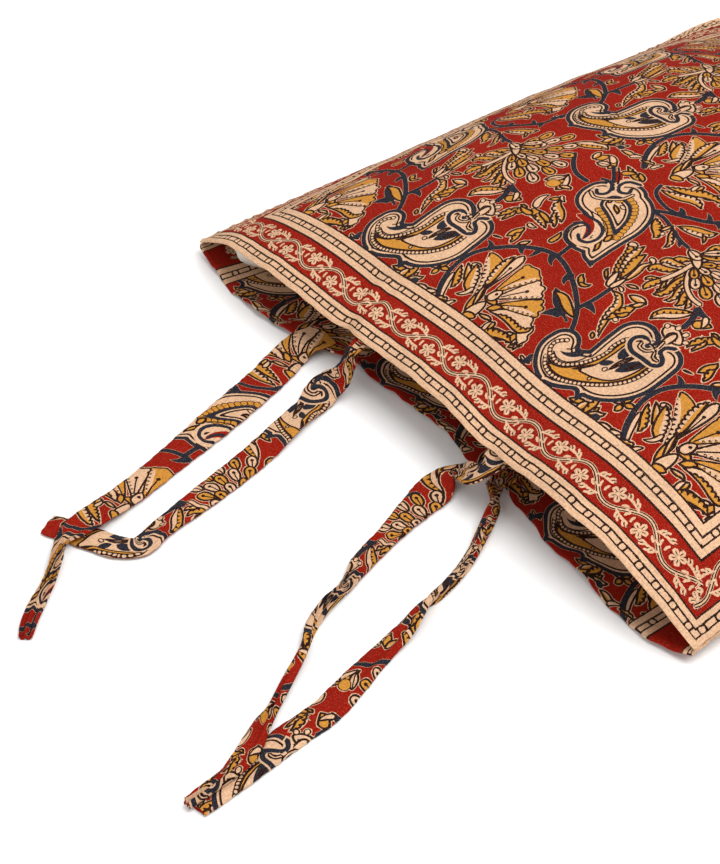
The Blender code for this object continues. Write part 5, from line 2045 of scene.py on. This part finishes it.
@dataclass(frozen=True)
class Tie:
    """A tie: a folded and stitched strip of the printed cloth, sewn to a hem inside the mouth.

    Attributes:
        name: The piece's and the solid's name.
        rows: The tie past the hem, row by row.
        under: Whether its panel lies over it.
        along: How far along the mouth it is sewn.
        root_width: Its width there.
        cut: Where in the printed cloth it was cut, in millimetres, and at what angle.
        thick: Its thickness.
        cloth_width: Its finished flat width.
        seat: Clear space between it and its panel.
        solid_thick: Thickness of its solid, whose rows these are.
        step: Length of one cell.
        cells: Cells across each face.
        fold: Height of the folds where it is bunched.
        stitch_place: Where its line of stitches runs, as a share of the half width.
        stitch_dent: How far they draw it in.
    """

    name: str
    rows: TieRows
    under: bool
    along: float
    root_width: float
    cut: tuple[float, float, float]
    thick: float = 0.0021
    cloth_width: float = 0.0165
    seat: float = 0.0013
    solid_thick: float = 0.0022
    step: float = 0.0012
    cells: int = 13
    fold: float = 0.0016
    stitch_place: float = 0.78
    stitch_dent: float = 0.00028

    def path(self, sheet: Array) -> Array:
        """The tie's rows: its seat on the panel, then its table.

        Args:
            sheet: Middle surface of the panel that it is sewn to.

        Returns:
            Centre, width and roll of each.
        """
        normal = normals_of(sheet)
        along = np.array(self.along)
        inner, edge = (COVER.read(sheet, along, np.array(deep)) for deep in (0.010, 0.0))
        up = COVER.read(normal, along, np.array(0.005))
        side = -1 if self.under else 1
        shift = side * up / np.linalg.norm(up) * (COVER.sheet / 2 + self.seat + self.solid_thick / 2)
        past = (edge - inner) / np.linalg.norm(edge - inner) * 0.005
        path = [(*(point + shift), self.root_width, 0.0) for point in (inner, edge, edge + past)]
        for x, y, lift, width, roll in self.rows:
            turn = math.radians(roll)
            rise = abs(math.sin(turn)) * width / 2 + abs(math.cos(turn)) * self.solid_thick / 2
            path.append((x, y, lift + rise, width, turn))
        return np.array(path)

    def make(self, sheet: Array, finish: bpy.types.Material) -> bpy.types.Object:
        """Builds the tie as a flattened tube of cloth along its path.

        The section is a strip with rounded edges: across it runs evenly from side to side, and its
        height is half the thickness times the sixth-power round of the place across.

        Args:
            sheet: Middle surface of the panel that it is sewn to.
            finish: The printed cotton.

        Returns:
            The piece.
        """
        path = self.path(sheet)
        steps = np.concatenate([[0], np.cumsum(np.linalg.norm(np.diff(path[:, :3], axis=0), axis=1))])
        length = steps[-1]
        at = np.linspace(0, length, int(length / self.step))
        centre, before, after = (
            np.stack([smooth(np.clip(place, 0, length), steps, path[:, k]) for k in range(3)], axis=-1)
            for place in (at, at - 0.001, at + 0.001)
        )
        tangent = after - before
        tangent /= np.linalg.norm(tangent, axis=-1, keepdims=True)
        level = np.cross(tangent, [0.0, 0.0, 1.0])
        level /= np.linalg.norm(level, axis=-1, keepdims=True)
        over = np.cross(level, tangent)
        uneven = 0.018 * np.sin(at * 430 + self.cut[0]) + 0.014 * np.sin(at * 1130 + self.cut[1])
        width = (smooth(at, steps, path[:, 3]) * (1 + uneven))[:, None]
        roll = smooth(at, steps, path[:, 4])[:, None]
        across = np.cos(roll) * level + np.sin(roll) * over
        face = np.cross(across, tangent)
        reach = np.abs(across[:, 2:]) * width / 2 + np.abs(face[:, 2:]) * self.solid_thick / 2
        centre[:, 2:] = np.maximum(centre[:, 2:], reach + COVER.gap)
        lay = np.linspace(-1, 1, self.cells + 1)
        bulge = (1 - np.abs(lay) ** 6) ** 0.5 * 0.88 + 0.12
        place = np.concatenate([lay, lay[::-1]])
        lift = np.concatenate([bulge, -bulge[::-1]])
        slack = np.clip(1 - width / self.cloth_width, 0, 1)
        folds = np.sin(place * 7.0 + 1.1) * slack * self.fold
        folds = folds + np.sin(place * 3.1 + at[:, None] * 60) * 0.00025
        dent = self.stitch_dent * np.exp(-((place - self.stitch_place) / 0.06) ** 2) * np.sign(lift)
        height = lift * self.thick / 2 + folds - dent
        points = centre[:, None] + across[:, None] * (place * width / 2)[..., None]
        points += face[:, None] * height[..., None]
        points[..., 2] = np.maximum(points[..., 2], 0.0002)
        turned = np.concatenate([lay, 2 - lay[::-1]]) * self.cloth_width / 2
        flat = np.stack(np.broadcast_arrays(at[:, None], turned + self.cloth_width), axis=-1) / MM
        mesh = self.tube(points, flat)
        x, y, angle = self.cut
        block = ClothPrint((), (x, y), angle).lay(mesh.flat, mesh.quads)
        piece = mesh.make(f"{self.name}_cloth", finish, block)
        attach(piece, BODY)
        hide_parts(self.name)
        return piece

    @staticmethod
    def tube(points: Array, flat: Array) -> Mesh:
        """Joins rings of points into a tube with closed ends.

        The ring is repeated at the seam so that cloth coordinates don't jump there.

        Args:
            points: Rings of points, one ring a row.
            flat: Their flat coordinates.

        Returns:
            The closed mesh.
        """
        rings, around = points.shape[:2]
        number = np.arange(rings * around).reshape(rings, around)
        nxt = np.roll(number, -1, axis=1)
        quads = np.stack([number[:-1], number[1:], nxt[1:], nxt[:-1]], axis=-1).reshape(-1, 4)
        half = around // 2
        ends = []
        for ring, turned in ((number[0], False), (number[-1], True)):
            left, right = ring[:half], ring[half:][::-1]
            cap = np.stack([left[:-1], left[1:], right[1:], right[:-1]], axis=-1)
            ends.append(cap[:, ::-1] if turned else cap)
        return Mesh(points.reshape(-1, 3), flat.reshape(-1, 2), np.concatenate([quads, *ends]), [])


@dataclass(frozen=True)
class Studio:
    """Floor, light and camera.

    Attributes:
        lens: Focal length for a sensor 36 mm on the picture's long side.
        spot: Where the camera stands.
        pitch: How far it looks down.
        yaw: How far it is turned from the +Y direction.
    """

    lens: float = 82.4
    spot: tuple[float, float, float] = (0.587, -0.651, 0.609)
    pitch: float = 0.682
    yaw: float = 0.938

    def make(self) -> None:
        """Sets the stage."""
        self.camera()
        self.floor()
        self.lights()

    def camera(self) -> None:
        """Places the camera."""
        data = bpy.data.cameras.new("camera")
        data.lens = self.lens
        data.sensor_width = 36.0
        data.clip_start = 0.01
        camera = bpy.data.objects.new("camera", data)
        camera.location = self.spot
        camera.rotation_euler = (math.pi / 2 - self.pitch, 0.0, self.yaw)
        bpy.context.scene.collection.objects.link(camera)
        bpy.context.scene.camera = camera

    def floor(self) -> None:
        """Lays the floor: a shallow dish that is flat under the object and rises far away."""
        steps = np.linspace(-1, 1, 41)
        x, y = np.meshgrid(np.sign(steps) * np.abs(steps) ** 2 * 6, np.sign(steps) * np.abs(steps) ** 2 * 6,
                           indexing="ij")
        z = np.clip(np.hypot(x, y) - 3.0, 0, None) ** 2 * 0.2
        flat = np.stack([x, y], axis=-1).reshape(-1, 2)
        points = np.stack([x, y, z], axis=-1).reshape(-1, 3)
        mesh = Mesh(points, flat, grid_quads(0, 41, 41), [])
        floor = mesh.make("floor", PaleFloor().build(), None)

    def lights(self) -> None:
        """Hangs the soft lights and lights the room."""
        for name, spot, size, power in (
            ("key_light", (0.9, 0.1, 2.0), 1.3, 34.0),
            ("top_light", (-0.3, -0.2, 2.4), 2.2, 14.0),
            ("fill_light", (0.4, -2.0, 1.2), 1.6, 8.0),
        ):
            data = bpy.data.lights.new(name, "AREA")
            data.shape = "SQUARE"
            data.size = size
            data.energy = power
            light = bpy.data.objects.new(name, data)
            light.location = spot
            away = np.array(spot)
            light.rotation_euler = (math.atan2(math.hypot(away[0], away[1]), away[2]), 0.0,
                                    math.atan2(away[1], away[0]) + math.pi / 2)
            bpy.context.scene.collection.objects.link(light)
        world = bpy.data.worlds.new("room")
        world.use_nodes = True
        backdrop = world.node_tree.nodes["Background"]
        backdrop.inputs["Color"].default_value = (1.0, 0.99, 0.98, 1.0)
        backdrop.inputs["Strength"].default_value = 0.55
        bpy.context.scene.world = world
        bpy.context.scene.view_settings.view_transform = "Standard"


def main() -> None:
    """Builds the cover piece by piece."""
    logging.basicConfig(level=logging.INFO, format="%(name)s: %(message)s")
    Studio().make()
    plain_front = COVER.front()
    front_panel = Panel(
        "front_panel_cloth", "front_panel", "front_print", True, tuple(Side),
        creases=(
            Crease((0.02, 0.06), (0.10, 0.13), -0.0012, 0.010),
            Crease((0.30, 0.03), (0.34, 0.12), -0.0016, 0.012),
            Crease((0.36, 0.02), (0.31, 0.09), 0.0012, 0.010),
            Crease((0.12, 0.01), (0.16, 0.07), -0.0012, 0.009),
            Crease((0.05, 0.33), (0.14, 0.27), -0.0014, 0.012),
            Crease((0.1425, 0.0), (0.130, 0.034), -0.0014, 0.0040),
            Crease((0.1425, 0.0), (0.1385, 0.040), 0.0012, 0.0035),
            Crease((0.1425, 0.0), (0.147, 0.038), -0.0014, 0.0038),
            Crease((0.1425, 0.0), (0.157, 0.030), 0.0010, 0.0040),
            Crease((0.262, 0.0), (0.255, 0.030), -0.0010, 0.0045),
            Crease((0.02, 0.18), (0.02, 0.34), 0.003, 0.03),
        ),
        tucks=((0.1425, 0.0042), (0.2600, 0.0012)),
    )
    back_panel = Panel(
        "back_panel_cloth", "back_panel", "back_print", False, (Side.LEFT, Side.RIGHT, Side.FAR),
        shift=(46.0, -38.0), swell=0.0, wave=0.0009, tucks=((0.112, 0.002), (0.256, 0.003)), seed=11,
    )
    front = front_panel.shaped(plain_front)
    back = back_panel.shaped(COVER.back(plain_front))
    pad = Pad().make(front, back)
    log.info("%s: %d faces", pad.name, len(pad.data.polygons))
    for panel, sheet in ((front_panel, front), (back_panel, back)):
        piece = panel.make(sheet)
        log.info("%s: %d faces", piece.name, len(piece.data.polygons))
    ties = (
        Tie("tie_a", TIE_A, False, 0.112, 0.0200, (87.0, 54.0, 90.0)),
        Tie("tie_b", TIE_B, True, 0.156, 0.0085, (18.0, 2.0, 90.0)),
        Tie("tie_c", TIE_C, True, 0.262, 0.0130, (16.4, 41.7, 90.0)),
        Tie("tie_d", TIE_D, False, 0.256, 0.0090, (18.0, 111.0, 90.0)),
    )
    tie_cotton = PrintedCotton("tie_cotton").build()
    for tie in ties:
        piece = tie.make(front if tie.under else back, tie_cotton)
        log.info("%s: %d faces", piece.name, len(piece.data.polygons))


if __name__ == "__main__":
    main()
